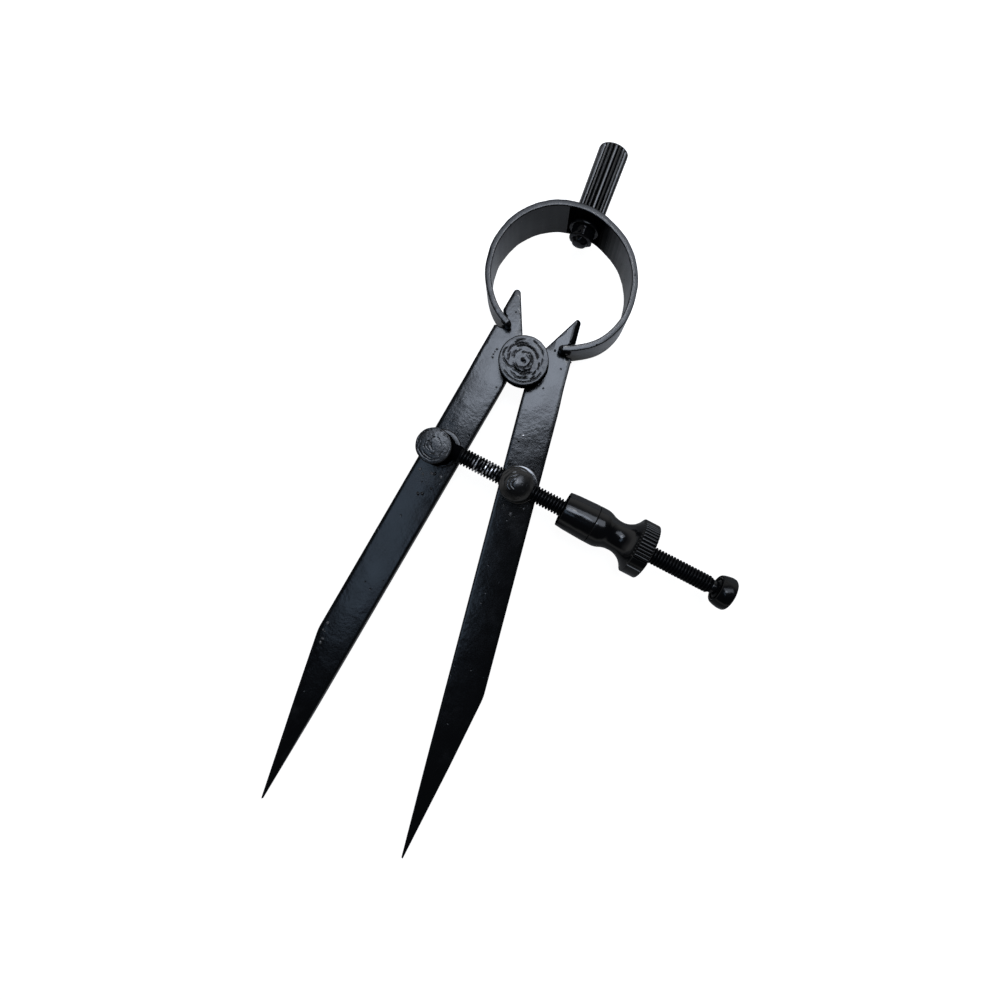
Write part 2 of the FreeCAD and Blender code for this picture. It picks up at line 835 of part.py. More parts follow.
def build():
    left_at = (size["left_post_out"], size["left_post_drop"])
    right_at = (size["right_post_out"], size["right_post_drop"])
    left_horn = (size["left_throat_rise"], size["left_horn_round"])
    right_horn = (size["right_throat_rise"], size["right_horn_round"])
    parts = [
        make_leg("left_leg", -1, *left_horn, size["left_seat_rise"], *left_at),
        make_leg("right_leg", 1, *right_horn, size["right_seat_rise"], *right_at),
        make_fulcrum(),
        make_bow(),
        make_handle(),
        make_handle_washer(),
        make_handle_nut(),
    ]
    tight, loose = (size["screw_radius"] + size[fit] for fit in ("screw_fit", "right_post_slack"))
    left_post = make_post("left_post", -1, size["left_crown"], size["left_post_offset"], tight)
    drill_pin_hole(left_post)
    right_post = make_post("right_post", 1, size["right_crown"], size["right_post_offset"], loose)
    parts += [left_post, right_post]
    parts += make_post_washers(-1, "left_post") + make_post_washers(1, "right_post")
    parts += [make_screw(), make_pin(), make_cap(), make_sleeve(), make_nut()]
    doc.recompute()
    return parts


def check(parts):
    for item in doc.Objects:
        if "Invalid" in item.State or "Error" in item.State:
            raise RuntimeError(f"{item.Name} failed: {item.State}")
    for part in parts:
        if part.Shape.isNull() or not part.Shape.isValid() or len(part.Shape.Solids) != 1:
            raise RuntimeError(f"{part.Label} is not one valid solid")


def export(parts):
    os.makedirs("parts", exist_ok=True)
    for part in parts:
        part.Shape.exportStep(f"parts/{part.Label}.step")
        box = part.Shape.BoundBox
        print(
            f"{part.Label}: {part.Shape.Volume:.1f} mm3, x {box.XMin:.2f} to {box.XMax:.2f}, "
            f"y {box.YMin:.2f} to {box.YMax:.2f}, z {box.ZMin:.2f} to {box.ZMax:.2f}"
        )


all_parts = build()
check(all_parts)
export(all_parts)
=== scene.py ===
import math
import random
from collections import namedtuple
from functools import partial, wraps

import bmesh
import bpy
from bpy.props import FloatProperty, FloatVectorProperty, IntProperty, PointerProperty
from mathutils import Matrix, Vector, noise


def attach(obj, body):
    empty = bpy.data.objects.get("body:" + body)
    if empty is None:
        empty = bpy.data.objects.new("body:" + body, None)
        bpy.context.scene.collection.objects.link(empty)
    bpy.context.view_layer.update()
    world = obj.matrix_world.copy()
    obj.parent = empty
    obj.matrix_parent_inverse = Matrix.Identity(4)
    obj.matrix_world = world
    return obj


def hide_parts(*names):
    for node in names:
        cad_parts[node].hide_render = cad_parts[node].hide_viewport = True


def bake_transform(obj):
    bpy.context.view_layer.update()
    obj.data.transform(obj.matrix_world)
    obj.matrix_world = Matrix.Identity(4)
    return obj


bl_info = {
    "name": "Spring Divider",
    "version": (1, 0, 0),
    "blender": (4, 5, 0),
    "location": "3D View > Sidebar > Divider",
    "description": "Dresses a blackened spring divider: legs, bow, fulcrum, handle, posts, screw and nut",
    "category": "Object",
}

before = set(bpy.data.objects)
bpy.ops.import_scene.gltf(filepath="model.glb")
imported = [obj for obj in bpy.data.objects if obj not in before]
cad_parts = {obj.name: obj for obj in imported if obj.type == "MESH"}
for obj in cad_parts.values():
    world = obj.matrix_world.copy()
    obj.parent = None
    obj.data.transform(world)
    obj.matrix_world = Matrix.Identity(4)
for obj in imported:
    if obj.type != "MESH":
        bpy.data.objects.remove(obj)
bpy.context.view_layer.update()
MM = 0.001

# Places that every piece shares, in millimetres, measured from the pivot axis.
HALF_OPENING = math.radians(7.83)
MID_HEIGHT = 9.5
SCREW_HEIGHT = 18.5
SCREW_ANGLE = math.radians(5.0)
LEFT_POST = (11.9, -45.2)
RIGHT_POST = (9.3, -46.2)
SCREW_OFFSET = 1.58
BOW_CENTRE = (0.8, 35.0)
HANDLE_ROOT = (1.5, 64.56)
HANDLE_LEAN = math.radians(1.76)


def leg_to_world(side, out, up):
    """A point of a leg's own frame in the tool's frame. side is 1 on the right, -1 on the left."""
    sine, cosine = math.sin(HALF_OPENING), math.cos(HALF_OPENING)
    return side * (out * cosine - up * sine), out * sine + up * cosine


def leg_matrix(side):
    """From a leg's frame, X outward and Y along the leg, to the tool's frame."""
    x_axis = Vector((*leg_to_world(side, 1, 0), 0))
    y_axis = Vector((*leg_to_world(side, 0, 1), 0))
    matrix = Matrix((x_axis, y_axis, Vector((0, 0, 1)))).transposed().to_4x4()
    matrix.translation = Vector((0, 0, MID_HEIGHT))
    return matrix


def screw_matrix():
    """From the screw's frame, X along the screw from abreast of the left post, to the tool's frame."""
    x, y = leg_to_world(-1, *LEFT_POST)
    x += SCREW_OFFSET * math.sin(SCREW_ANGLE)
    y += SCREW_OFFSET * math.cos(SCREW_ANGLE)
    return Matrix.Translation((x, y, SCREW_HEIGHT)) @ Matrix.Rotation(-SCREW_ANGLE, 4, "Z")


def handle_matrix():
    """From a frame with X along the handle to the tool's frame."""
    turn = Matrix.Rotation(math.radians(90) + HANDLE_LEAN, 4, "Z")
    return Matrix.Translation((*HANDLE_ROOT, MID_HEIGHT)) @ turn


def post_matrix(side):
    """From a frame with X along the post's axis, towards the front, to the tool's frame."""
    x, y = leg_to_world(side, *(LEFT_POST if side < 0 else RIGHT_POST))
    return Matrix.Translation((x, y, MID_HEIGHT)) @ Matrix.Rotation(math.radians(-90), 4, "Y")


class DividerShape(bpy.types.PropertyGroup):
    """Sizes of the dressed pieces that a user would change."""

    edge_round: FloatProperty(
        name="Leg edge", description="Width of the rounding on the legs' edges",
        default=0.45 * MM, unit="LENGTH",
    )
    leg_crown: FloatProperty(
        name="Leg crown", description="How far the middle of a leg's face stands proud",
        default=0.14 * MM, unit="LENGTH",
    )
    thread_pitch: FloatProperty(
        name="Thread pitch", description="Distance between neighbouring threads",
        default=1.27 * MM, unit="LENGTH",
    )
    thread_depth: FloatProperty(
        name="Thread depth", description="Depth of the thread from crest to root",
        default=0.8 * MM, unit="LENGTH",
    )
    flute_count: IntProperty(
        name="Flutes", description="Flutes around the handle", default=20, min=3, max=60
    )
    flute_depth: FloatProperty(
        name="Flute depth", description="Depth of the handle's flutes",
        default=1.0 * MM, unit="LENGTH",
    )
    knurl_count: IntProperty(
        name="Knurl", description="Grooves around the nut's flange", default=48, min=8, max=90
    )
    knurl_depth: FloatProperty(
        name="Knurl depth", description="Depth of the flange's grooves",
        default=0.8 * MM, unit="LENGTH",
    )
    face_ridges: FloatProperty(
        name="Turning marks", description="Height of the marks on the fulcrum's face",
        default=0.2 * MM, unit="LENGTH",
    )
    drop_size: FloatProperty(
        name="Paint drops", description="Radius of the larger drops of enamel",
        default=0.6 * MM, unit="LENGTH",
    )


class DividerFinish(bpy.types.PropertyGroup):
    """Colours and surface of the enamel."""

    enamel: FloatVectorProperty(
        name="Enamel", description="Colour of the black enamel",
        default=(0.0018, 0.0021, 0.0027), subtype="COLOR", size=3,
    )
    worn: FloatVectorProperty(
        name="Worn enamel", description="Colour where the enamel is thin",
        default=(0.011, 0.0118, 0.0135), subtype="COLOR", size=3,
    )
    leg_gloss: FloatProperty(
        name="Leg roughness", description="Roughness of the legs", default=0.17, min=0, max=1
    )
    turned_gloss: FloatProperty(
        name="Turned roughness", description="Roughness of the cap, the sleeve and the nut",
        default=0.16, min=0, max=1,
    )


class DividerStage(bpy.types.PropertyGroup):
    """Light, floor and sky."""

    key_level: FloatProperty(
        name="Key light", description="Radiance of the overhead soft box", default=5.6, min=0
    )
    wide_level: FloatProperty(
        name="Wide light", description="Radiance of the wide soft box", default=3.35, min=0
    )
    side_level: FloatProperty(
        name="Side light", description="Radiance of the soft box on the left", default=1.5, min=0
    )
    glint_level: FloatProperty(
        name="Glint", description="Radiance of the small bright lamp", default=30.0, min=0
    )
    sky_level: FloatProperty(
        name="Sky", description="Strength of the sky near the horizon", default=0.7, min=0
    )
    floor: FloatVectorProperty(
        name="Floor", description="Colour of the floor",
        default=(0.65, 0.65, 0.65), subtype="COLOR", size=3,
    )


# Building blocks for node trees


def fill_inputs(tree, node, inputs):
    """Give a node's inputs plain values, or link them from other nodes' sockets."""
    for name, value in inputs.items():
        if isinstance(value, bpy.types.NodeSocket):
            tree.links.new(value, node.inputs[name])
        else:
            node.inputs[name].default_value = value


def add_node(tree, kind, inputs=None, **settings):
    """A node with its settings made before its inputs, because they decide which inputs it has."""
    node = tree.nodes.new(kind)
    for name, value in settings.items():
        setattr(node, name, value)
    fill_inputs(tree, node, inputs or {})
    return node


def add_math(tree, operation, *values):
    """Result of a Math node on numbers and sockets."""
    return add_node(tree, "ShaderNodeMath", dict(enumerate(values)), operation=operation).outputs[0]


def add_ramp(tree, value, low, high, ends=(0.0, 1.0), kind="SMOOTHSTEP"):
    """A step from one end to the other while a value goes from low to high."""
    inputs = {"Value": value, "From Min": low, "From Max": high, "To Min": ends[0], "To Max": ends[1]}
    return add_node(tree, "ShaderNodeMapRange", inputs, interpolation_type=kind).outputs[0]


def add_mix(tree, share, first, second):
    """One colour turning into another, each a socket or three numbers."""
    inputs = {"Factor": share}
    for name, colour in (("A", first), ("B", second)):
        inputs[name] = colour if isinstance(colour, bpy.types.NodeSocket) else (*colour, 1)
    return add_node(tree, "ShaderNodeMix", inputs, data_type="RGBA").outputs["Result"]


def add_along(tree, direction, axis):
    """How far a direction points along a fixed axis."""
    inputs = {0: direction, 1: axis}
    return add_node(tree, "ShaderNodeVectorMath", inputs, operation="DOT_PRODUCT").outputs["Value"]


def new_tree(kind, name, inputs, outputs):
    """A tree with named sockets, each given by its default, or by its kind where it has none."""
    tree = bpy.data.node_groups.new(name, kind)
    for direction, sockets in (("INPUT", inputs), ("OUTPUT", outputs)):
        for label, value in sockets.items():
            what = {float: "Float", int: "Int"}.get(type(value), value)
            socket = tree.interface.new_socket(label, in_out=direction, socket_type=f"NodeSocket{what}")
            if what != value:
                socket.default_value = value
    given = tree.nodes.new("NodeGroupInput").outputs
    return tree, given, tree.nodes.new("NodeGroupOutput")


def built_once(build):
    """Name a tree after the function that builds it, and build it only if it isn't there yet."""

    @wraps(build)
    def find():
        return bpy.data.node_groups.get(build.__name__) or build(build.__name__)

    return find


# The enamel


Coating = namedtuple(
    "Coating",
    "roughness lumps lump_scale peel pits bump scratches turn gloss bare",
    defaults=(0.0, 0.0, 0.35, False),
)
# What each coating looks like. A roughness may be the name of one that the user sets, bump is the
# height of the lumps in millimetres, turn is the scratches' direction, gloss is the specular level,
# and bare lets the steel show as far as the mesh's attribute "bare" says.
COATINGS = {
    # Painted shade: a black without any shine, for walls, groove floors and hollows that should read as
    # shaded.
    "painted_shade_black": Coating(0.6, 1.0, 300.0, 0.4, 0.5, 0.08, gloss=0.0),
    "leg_enamel": Coating("leg_gloss", 1.0, 150.0, 0.3, 0.9, 0.09, 0.6, 0.3),
    "drop_enamel": Coating(0.1, 0.3, 500.0, 0.0, 0.0, 0.03, bare=True),
    "fulcrum_enamel": Coating(0.2, 1.0, 420.0, 0.4, 0.5, 0.035),
    "bow_enamel": Coating(0.2, 0.7, 190.0, 0.25, 1.4, 0.07, 0.3),
    "handle_enamel": Coating(0.27, 0.5, 300.0, 0.4, 0.3, 0.05, 0.5, gloss=0.8),
    "fixing_enamel": Coating(0.12, 1.4, 520.0, 0.1, 0.4, 0.2, gloss=0.2),
    "flat_post_enamel": Coating(0.3, 1.0, 420.0, 0.5, 0.9, 0.12, 0.8, 1.2, 0.55),
    "post_enamel": Coating(0.27, 1.0, 260.0, 0.15, 0.3, 0.13, 0.3, 1.0, 0.6),
    "collar_enamel": Coating(0.2, 0.8, 330.0, 0.2, 0.2, 0.07),
    "bright_collar_enamel": Coating(0.12, 0.8, 330.0, 0.1, 0.2, 0.05, gloss=1.0),
    "thread_enamel": Coating(0.36, 0.6, 700.0, 0.4, 0.3, 0.05, gloss=0.12, bare=True),
    "screw_end_enamel": Coating(0.2, 0.6, 500.0, 0.2, 0.3, 0.05, gloss=0.3, bare=True),
    "cap_enamel": Coating("turned_gloss", 0.8, 220.0, 0.25, 0.4, 0.1, gloss=0.22),
    "nut_enamel": Coating("turned_gloss", 0.8, 170.0, 0.08, 0.15, 0.06),
}
# Coatings with colours of their own: whole, and where they are thin. The first is the black of the painted
# shade.
SHADES = {
    "painted_shade_black": ((0.0015, 0.0016, 0.002), (0.006, 0.0063, 0.0072)),
    "handle_enamel": ((0.012, 0.0118, 0.0115), (0.035, 0.034, 0.033)),
}
STEEL = (0.8, 0.8, 0.82)
SCRATCH_ROUGHNESS = 0.15


@built_once
def enamel_film(name):
    """Uneven brushed enamel: low lumps, fine orange peel and a few pits."""
    inputs = {
        "Vector": "Vector", "Lump Scale": 260.0, "Lumps": 1.0, "Peel": 0.25, "Pits": 0.5,
        "Roughness": 0.25, "Unevenness": 0.08,
    }  # fmt: skip
    outputs = {"Height": "Float", "Roughness": "Float", "Thin": "Float"}
    tree, given, result = new_tree("ShaderNodeTree", name, inputs, outputs)
    calc = partial(add_math, tree)

    def cloud(scale, detail, **more):
        values = {"Vector": given["Vector"], "Scale": scale, "Detail": detail, **more}
        return add_node(tree, "ShaderNodeTexNoise", values).outputs[0]

    height = calc("MULTIPLY", cloud(given["Lump Scale"], 2.0, Roughness=0.45), given["Lumps"])
    height = calc("MULTIPLY_ADD", cloud(900.0, 2.0), given["Peel"], height)
    values = {"Vector": given["Vector"], "Scale": 330.0, "Randomness": 1.0}
    cells = add_node(tree, "ShaderNodeTexVoronoi", values).outputs
    pit = add_ramp(tree, cells["Distance"], 0.05, 0.16, (1.0, 0.0))
    draw = add_node(tree, "ShaderNodeSeparateColor", {0: cells["Color"]}).outputs[0]
    pits = calc("MULTIPLY", calc("MULTIPLY", pit, calc("GREATER_THAN", draw, 0.72)), given["Pits"])
    patches = cloud(120.0, 3.0)
    shift = calc("MULTIPLY", calc("SUBTRACT", patches, 0.5), given["Unevenness"])
    thin = calc("SMOOTH_MAX", calc("SUBTRACT", patches, 0.62), 0.0, 0.05)
    made = {
        "Height": calc("SUBTRACT", height, pits),
        "Roughness": calc("ADD", given["Roughness"], calc("MULTIPLY", shift, 2.0)),
        "Thin": calc("MULTIPLY", thin, 3.0),
    }
    fill_inputs(tree, result, made)
    return tree


@built_once
def hair_scratches(name):
    """Sparse fine scratches along one direction."""
    inputs = {"Vector": "Vector", "Turn": 0.0, "Amount": 0.5}
    tree, given, result = new_tree("ShaderNodeTree", name, inputs, {"Mask": "Float"})
    values = {"Vector": given["Vector"], "Angle": given["Turn"]}
    turn = add_node(tree, "ShaderNodeVectorRotate", values, rotation_type="Z_AXIS")
    values = {"Vector": turn.outputs[0], "Scale": (2600.0, 60.0, 400.0)}
    stretch = add_node(tree, "ShaderNodeMapping", values)
    values = {"Vector": stretch.outputs[0], "Scale": 1.0, "Detail": 2.0}
    grain = add_node(tree, "ShaderNodeTexNoise", values)
    mask = add_ramp(tree, grain.outputs[0], 0.66, 0.78, kind="LINEAR")
    fill_inputs(tree, result, {"Mask": add_math(tree, "MULTIPLY", mask, given["Amount"])})
    return tree


def enamel(name, kind=None, **changes):
    """Black enamel over steel. It is the coating of its name, or of a kind with some values changed."""
    if name in bpy.data.materials:
        return bpy.data.materials[name]
    finish = bpy.context.scene.divider_finish
    coating = COATINGS[kind or name]._replace(**changes)
    roughness = coating.roughness
    if isinstance(roughness, str):
        roughness = getattr(finish, roughness)
    material = bpy.data.materials.new(name)
    material.use_nodes = True
    tree = material.node_tree
    shader = tree.nodes["Principled BSDF"]
    place = tree.nodes.new("ShaderNodeTexCoord").outputs["Object"]
    values = {
        "Vector": place, "Lump Scale": coating.lump_scale, "Lumps": coating.lumps,
        "Peel": coating.peel, "Pits": coating.pits, "Roughness": roughness,
    }  # fmt: skip
    film = add_node(tree, "ShaderNodeGroup", values, node_tree=enamel_film()).outputs
    values = {"Vector": place, "Turn": coating.turn, "Amount": coating.scratches}
    scratch = add_node(tree, "ShaderNodeGroup", values, node_tree=hair_scratches()).outputs["Mask"]
    thin = add_math(tree, "MINIMUM", add_math(tree, "MAXIMUM", film["Thin"], scratch), 1.0)
    colour = add_mix(tree, thin, *SHADES.get(name, (finish.enamel, finish.worn)))
    if coating.bare:
        steel = add_node(tree, "ShaderNodeAttribute", attribute_name="bare").outputs["Fac"]
        colour = add_mix(tree, steel, colour, STEEL)
        tree.links.new(steel, shader.inputs["Metallic"])
    values = {"Strength": 1.0, "Distance": coating.bump * MM, "Height": film["Height"]}
    relief = add_node(tree, "ShaderNodeBump", values)
    rough = add_math(tree, "MULTIPLY_ADD", scratch, SCRATCH_ROUGHNESS, film["Roughness"])
    values = {
        "Base Color": colour, "Roughness": rough, "Normal": relief.outputs[0],
        "Specular IOR Level": coating.gloss,
    }  # fmt: skip
    fill_inputs(tree, shader, values)
    return material


def paint_shade_on_faces(piece, test):
    """Paint shade on the faces whose centre in millimetres and normal pass a test: a black coating without
    any shine, so that these walls, groove floors and hollows read as shaded."""
    piece.data.materials.append(enamel("painted_shade_black"))
    for polygon in piece.data.polygons:
        if test(polygon.center / MM, polygon.normal):
            polygon.material_index = 1


def in_groove(place, first, last, radius):
    """Whether a point lies between two places along the X axis and nearer to it than a radius."""
    return first < place.x < last and math.hypot(place.y, place.z) < radius


# Mesh building blocks


def add_object(name, data):
    """Put an object in the scene."""
    item = bpy.data.objects.new(name, data)
    bpy.context.scene.collection.objects.link(item)
    return item


def new_piece(name, mesh, body, replaced, material, matrix=None, smooth=40.0):
    """Make a finished piece from a mesh in millimetres and hang it on its body."""
    if matrix is not None:
        mesh.transform(matrix)
    mesh.transform(Matrix.Scale(MM, 4))
    if matrix is not None and matrix.to_3x3().determinant() < 0:
        mesh.flip_normals()
    mesh.materials.clear()
    mesh.materials.append(material)
    for polygon in mesh.polygons:
        polygon.use_smooth = True
    mesh.set_sharp_from_angle(angle=math.radians(smooth))
    piece = add_object(name, mesh)
    if body:
        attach(piece, body)
    if replaced:
        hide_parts(replaced)
    return piece


def to_mesh(form, name):
    """Close a bmesh's seams, turn its faces outwards and write it to a mesh."""
    bmesh.ops.remove_doubles(form, verts=form.verts, dist=1e-5)
    bmesh.ops.recalc_face_normals(form, faces=form.faces)
    mesh = bpy.data.meshes.new(name)
    form.to_mesh(mesh)
    form.free()
    return mesh


def lathe(form, profile, steps=96, wobble=0.0, seed=0.0):
    """Turn (along, radius) points about X. A point on the axis closes the end."""
    rings = []
    for along, radius in profile:
        if radius < 1e-6:
            rings.append([form.verts.new((along, 0, 0))])
            continue
        ring = []
        for step in range(steps):
            angle = 2 * math.pi * step / steps
            direction = Vector((0, math.cos(angle), math.sin(angle)))
            here = Vector((along, 0, 0)) + direction * radius
            shift = wobble * noise.noise(here * 0.45 + Vector((seed, 0, 0))) if wobble else 0
            ring.append(form.verts.new(here + direction * shift))
        rings.append(ring)
    for first, second in zip(rings, rings[1:]):
        join_rings(form, first, second, steps)


def join_rings(form, first, second, steps):
    for step in range(steps):
        after = (step + 1) % steps
        if len(first) == 1 and len(second) == 1:
            return
        if len(first) == 1:
            form.faces.new((first[0], second[step], second[after]))
        elif len(second) == 1:
            form.faces.new((first[step], second[0], first[after]))
        else:
            form.faces.new((first[step], second[step], second[after], first[after]))


def rounded_profile(points, default=0.3, steps=4):
    """Round the corners of a polyline. A point may carry its own rounding as a third number."""
    result = [points[0][:2]]
    for before, corner, after in zip(points, points[1:], points[2:]):
        radius = corner[2] if len(corner) > 2 else default
        here = Vector(corner[:2])
        back, ahead = Vector(before[:2]) - here, Vector(after[:2]) - here
        reach = min(radius, back.length * 0.49, ahead.length * 0.49)
        if reach < 1e-4:
            result.append(tuple(here))
            continue
        start, finish = here + back.normalized() * reach, here + ahead.normalized() * reach
        for step in range(steps + 1):
            t = step / steps
            point = start * (1 - t) ** 2 + here * (2 * t * (1 - t)) + finish * t**2
            result.append(tuple(point))
    result.append(points[-1][:2])
    return result


def dense(points, spacing):
    """Add points to a polyline so that none are further apart than the spacing."""
    result = [points[0]]
    for (x0, y0), (x1, y1) in zip(points, points[1:]):
        count = max(1, math.ceil(math.hypot(x1 - x0, y1 - y0) / spacing))
        for step in range(1, count + 1):
            t = step / count
            result.append((x0 + (x1 - x0) * t, y0 + (y1 - y0) * t))
    return result


def turned(points, spacing, corner_steps=4, **options):
    """A bmesh turned from a profile whose corners get rounded and whose runs get divided."""
    form = bmesh.new()
    lathe(form, dense(rounded_profile(points, steps=corner_steps), spacing), **options)
    return form


def rounded_rectangle(width, height, radius, steps=4):
    """Outline of a rounded rectangle, as (across, up) points."""
    points = []
    for corner, start in enumerate((0, 90, 180, 270)):
        x = (width / 2 - radius) * (1 if corner in (0, 3) else -1)
        y = (height / 2 - radius) * (1 if corner in (0, 1) else -1)
        for step in range(steps + 1):
            angle = math.radians(start + 90 * step / steps)
            points.append((x + radius * math.cos(angle), y + radius * math.sin(angle)))
    return points


def sweep(form, sections):
    """Skin closed rings of points, one after another, and cap both ends."""
    rings = [[form.verts.new(point) for point in section] for section in sections]
    for first, second in zip(rings, rings[1:]):
        join_rings(form, first, second, len(first))
    form.faces.new(rings[0])
    form.faces.new(list(reversed(rings[-1])))


def scored(marks, x, y, ragged_seed):
    """Height at a point of a face with broken turned rings, as a share of the height of a mark."""
    lip_height = 0.35
    angle = math.degrees(math.atan2(y, x))
    here = Vector((x, y, 0))
    radius = math.hypot(x, y) + 0.32 * noise.noise(here * 0.55 + Vector((0, 0, ragged_seed)))
    height = 0.0
    for first_radius, last_radius, start, sweep_angle, depth, width in marks:
        turn = (angle - start) % 360
        if turn > sweep_angle:
            continue
        middle = first_radius + (last_radius - first_radius) * turn / sweep_angle
        spread = (radius - middle) / width
        if abs(spread) > 5:
            continue
        fade = min(14, sweep_angle * 0.3)
        ends = min(1, turn / fade, (sweep_angle - turn) / fade)
        ragged = max(0.2, 0.85 + 0.9 * noise.noise(here * 1.1 + Vector((7, 0, middle))))
        groove = math.exp(-spread * spread)
        lip = math.exp(-((spread - 2.0) ** 2)) * lip_height
        height += depth * ends * ragged * (lip - groove)
    return height


def short_marks(count, reach, seed):
    """Short broken marks at random, with a fixed seed, in the form that scored takes."""
    draw = random.Random(seed)
    marks = []
    for _ in range(count):
        radius = reach * math.sqrt(draw.uniform(0.06, 1.0))
        slant = draw.uniform(-0.5, 0.5)
        sweep_angle = draw.uniform(1.6, 4.2) / radius * 57.3
        start, depth, width = draw.uniform(0, 360), draw.uniform(0.4, 1.0), draw.uniform(0.13, 0.2)
        marks.append((radius, radius + slant, start, sweep_angle, depth, width))
    return marks


def apply_modifier(mesh, kind, settings, sockets=None):
    """Run a modifier on a mesh once and return the plain mesh that it makes."""
    carrier = add_object("carrier", mesh)
    modifier = carrier.modifiers.new(kind.lower(), kind)
    for name, value in settings.items():
        setattr(modifier, name, value)
    for identifier, value in (sockets or {}).items():
        modifier[identifier] = value
    depsgraph = bpy.context.evaluated_depsgraph_get()
    result = bpy.data.meshes.new_from_object(carrier.evaluated_get(depsgraph), depsgraph=depsgraph)
    bpy.data.objects.remove(carrier)
    if not result.vertices:
        raise RuntimeError(f"{kind} left nothing of {mesh.name}")
    return result


# Geometry Nodes trees


def run_tree(tree, mesh, values):
    """Run a tree on a mesh, with the values of its inputs by name."""
    items = [item for item in tree.interface.items_tree if item.in_out == "INPUT"]
    sockets = {item.identifier: values[item.name] for item in items if item.name in values}
    return apply_modifier(mesh, "NODES", {"node_group": tree}, sockets)


def geometry_tree(name, inputs):
    """A tree that ends in Realize Instances and Set Material, its given values, and the socket before
    these two that takes the geometry."""
    sockets = {"Geometry": "Geometry", **inputs, "Material": "Material"}
    tree, given, last = new_tree("GeometryNodeTree", name, sockets, {"Geometry": "Geometry"})
    realize = tree.nodes.new("GeometryNodeRealizeInstances")
    values = {"Geometry": realize.outputs[0], "Material": given["Material"]}
    coat = add_node(tree, "GeometryNodeSetMaterial", values)
    fill_inputs(tree, last, {0: coat.outputs[0]})
    return tree, given, realize.inputs[0]


def point_place(tree):
    """The three coordinates of each point."""
    place = tree.nodes.new("GeometryNodeInputPosition").outputs[0]
    return add_node(tree, "ShaderNodeSeparateXYZ", {0: place}).outputs


def joined(tree, *values):
    """A vector of up to three coordinates."""
    return add_node(tree, "ShaderNodeCombineXYZ", dict(enumerate(values))).outputs[0]


def moved(tree, geometry, *place):
    """A geometry with each of its points moved to a place."""
    values = {"Geometry": geometry, "Position": joined(tree, *place)}
    return add_node(tree, "GeometryNodeSetPosition", values).outputs[0]


@built_once
def helical_thread(name):
    """A helical thread about X: a fine tube whose radius follows the turn and the distance along."""
    inputs = {
        "Start": 9.0, "Length": 108.4, "Radius": 3.175, "Depth": 0.72, "Pitch": 1.27,
        "Steps Along": 1008, "Steps Around": 37,
    }  # fmt: skip
    tree, given, result = geometry_tree(name, inputs)
    calc = partial(add_math, tree)
    length, pitch = given["Length"], given["Pitch"]
    values = {
        "Size X": 1.0, "Size Y": 1.0,
        "Vertices X": given["Steps Along"], "Vertices Y": given["Steps Around"],
    }  # fmt: skip
    grid = add_node(tree, "GeometryNodeMeshGrid", values)
    x, y, _ = point_place(tree)
    run = calc("MULTIPLY", calc("ADD", x, 0.5), length)
    turn = calc("MULTIPLY", calc("ADD", y, 0.5), 2 * math.pi)
    turns = calc("ADD", calc("DIVIDE", run, pitch), calc("DIVIDE", turn, 2 * math.pi))
    flank = calc("ABSOLUTE", calc("SUBTRACT", calc("MULTIPLY", calc("FRACT", turns), 2.0), 1.0))
    cut = calc("SUBTRACT", 1.0, calc("MULTIPLY", calc("SUBTRACT", flank, 0.1), 1.8))
    cut = calc("MAXIMUM", calc("MINIMUM", cut, 1.0), 0.0)
    fade_in = calc("MINIMUM", calc("DIVIDE", run, pitch), 1.0)
    fade_out = calc("MINIMUM", calc("DIVIDE", calc("SUBTRACT", length, run), pitch), 1.0)
    cut = calc("MULTIPLY", cut, calc("MULTIPLY", given["Depth"], fade_in))
    end_dip = calc("MULTIPLY", calc("SUBTRACT", 1.0, fade_out), given["Depth"])
    radius = calc("SUBTRACT", given["Radius"], cut)
    radius = calc("MINIMUM", radius, calc("SUBTRACT", given["Radius"], end_dip))
    across = [calc("MULTIPLY", radius, calc(wave, turn)) for wave in ("COSINE", "SINE")]
    tube = moved(tree, grid.outputs["Mesh"], calc("ADD", run, given["Start"]), *across)
    weld = add_node(tree, "GeometryNodeMergeByDistance", {"Geometry": tube, "Distance": 1e-4})
    tree.links.new(weld.outputs["Geometry"], result)
    return tree


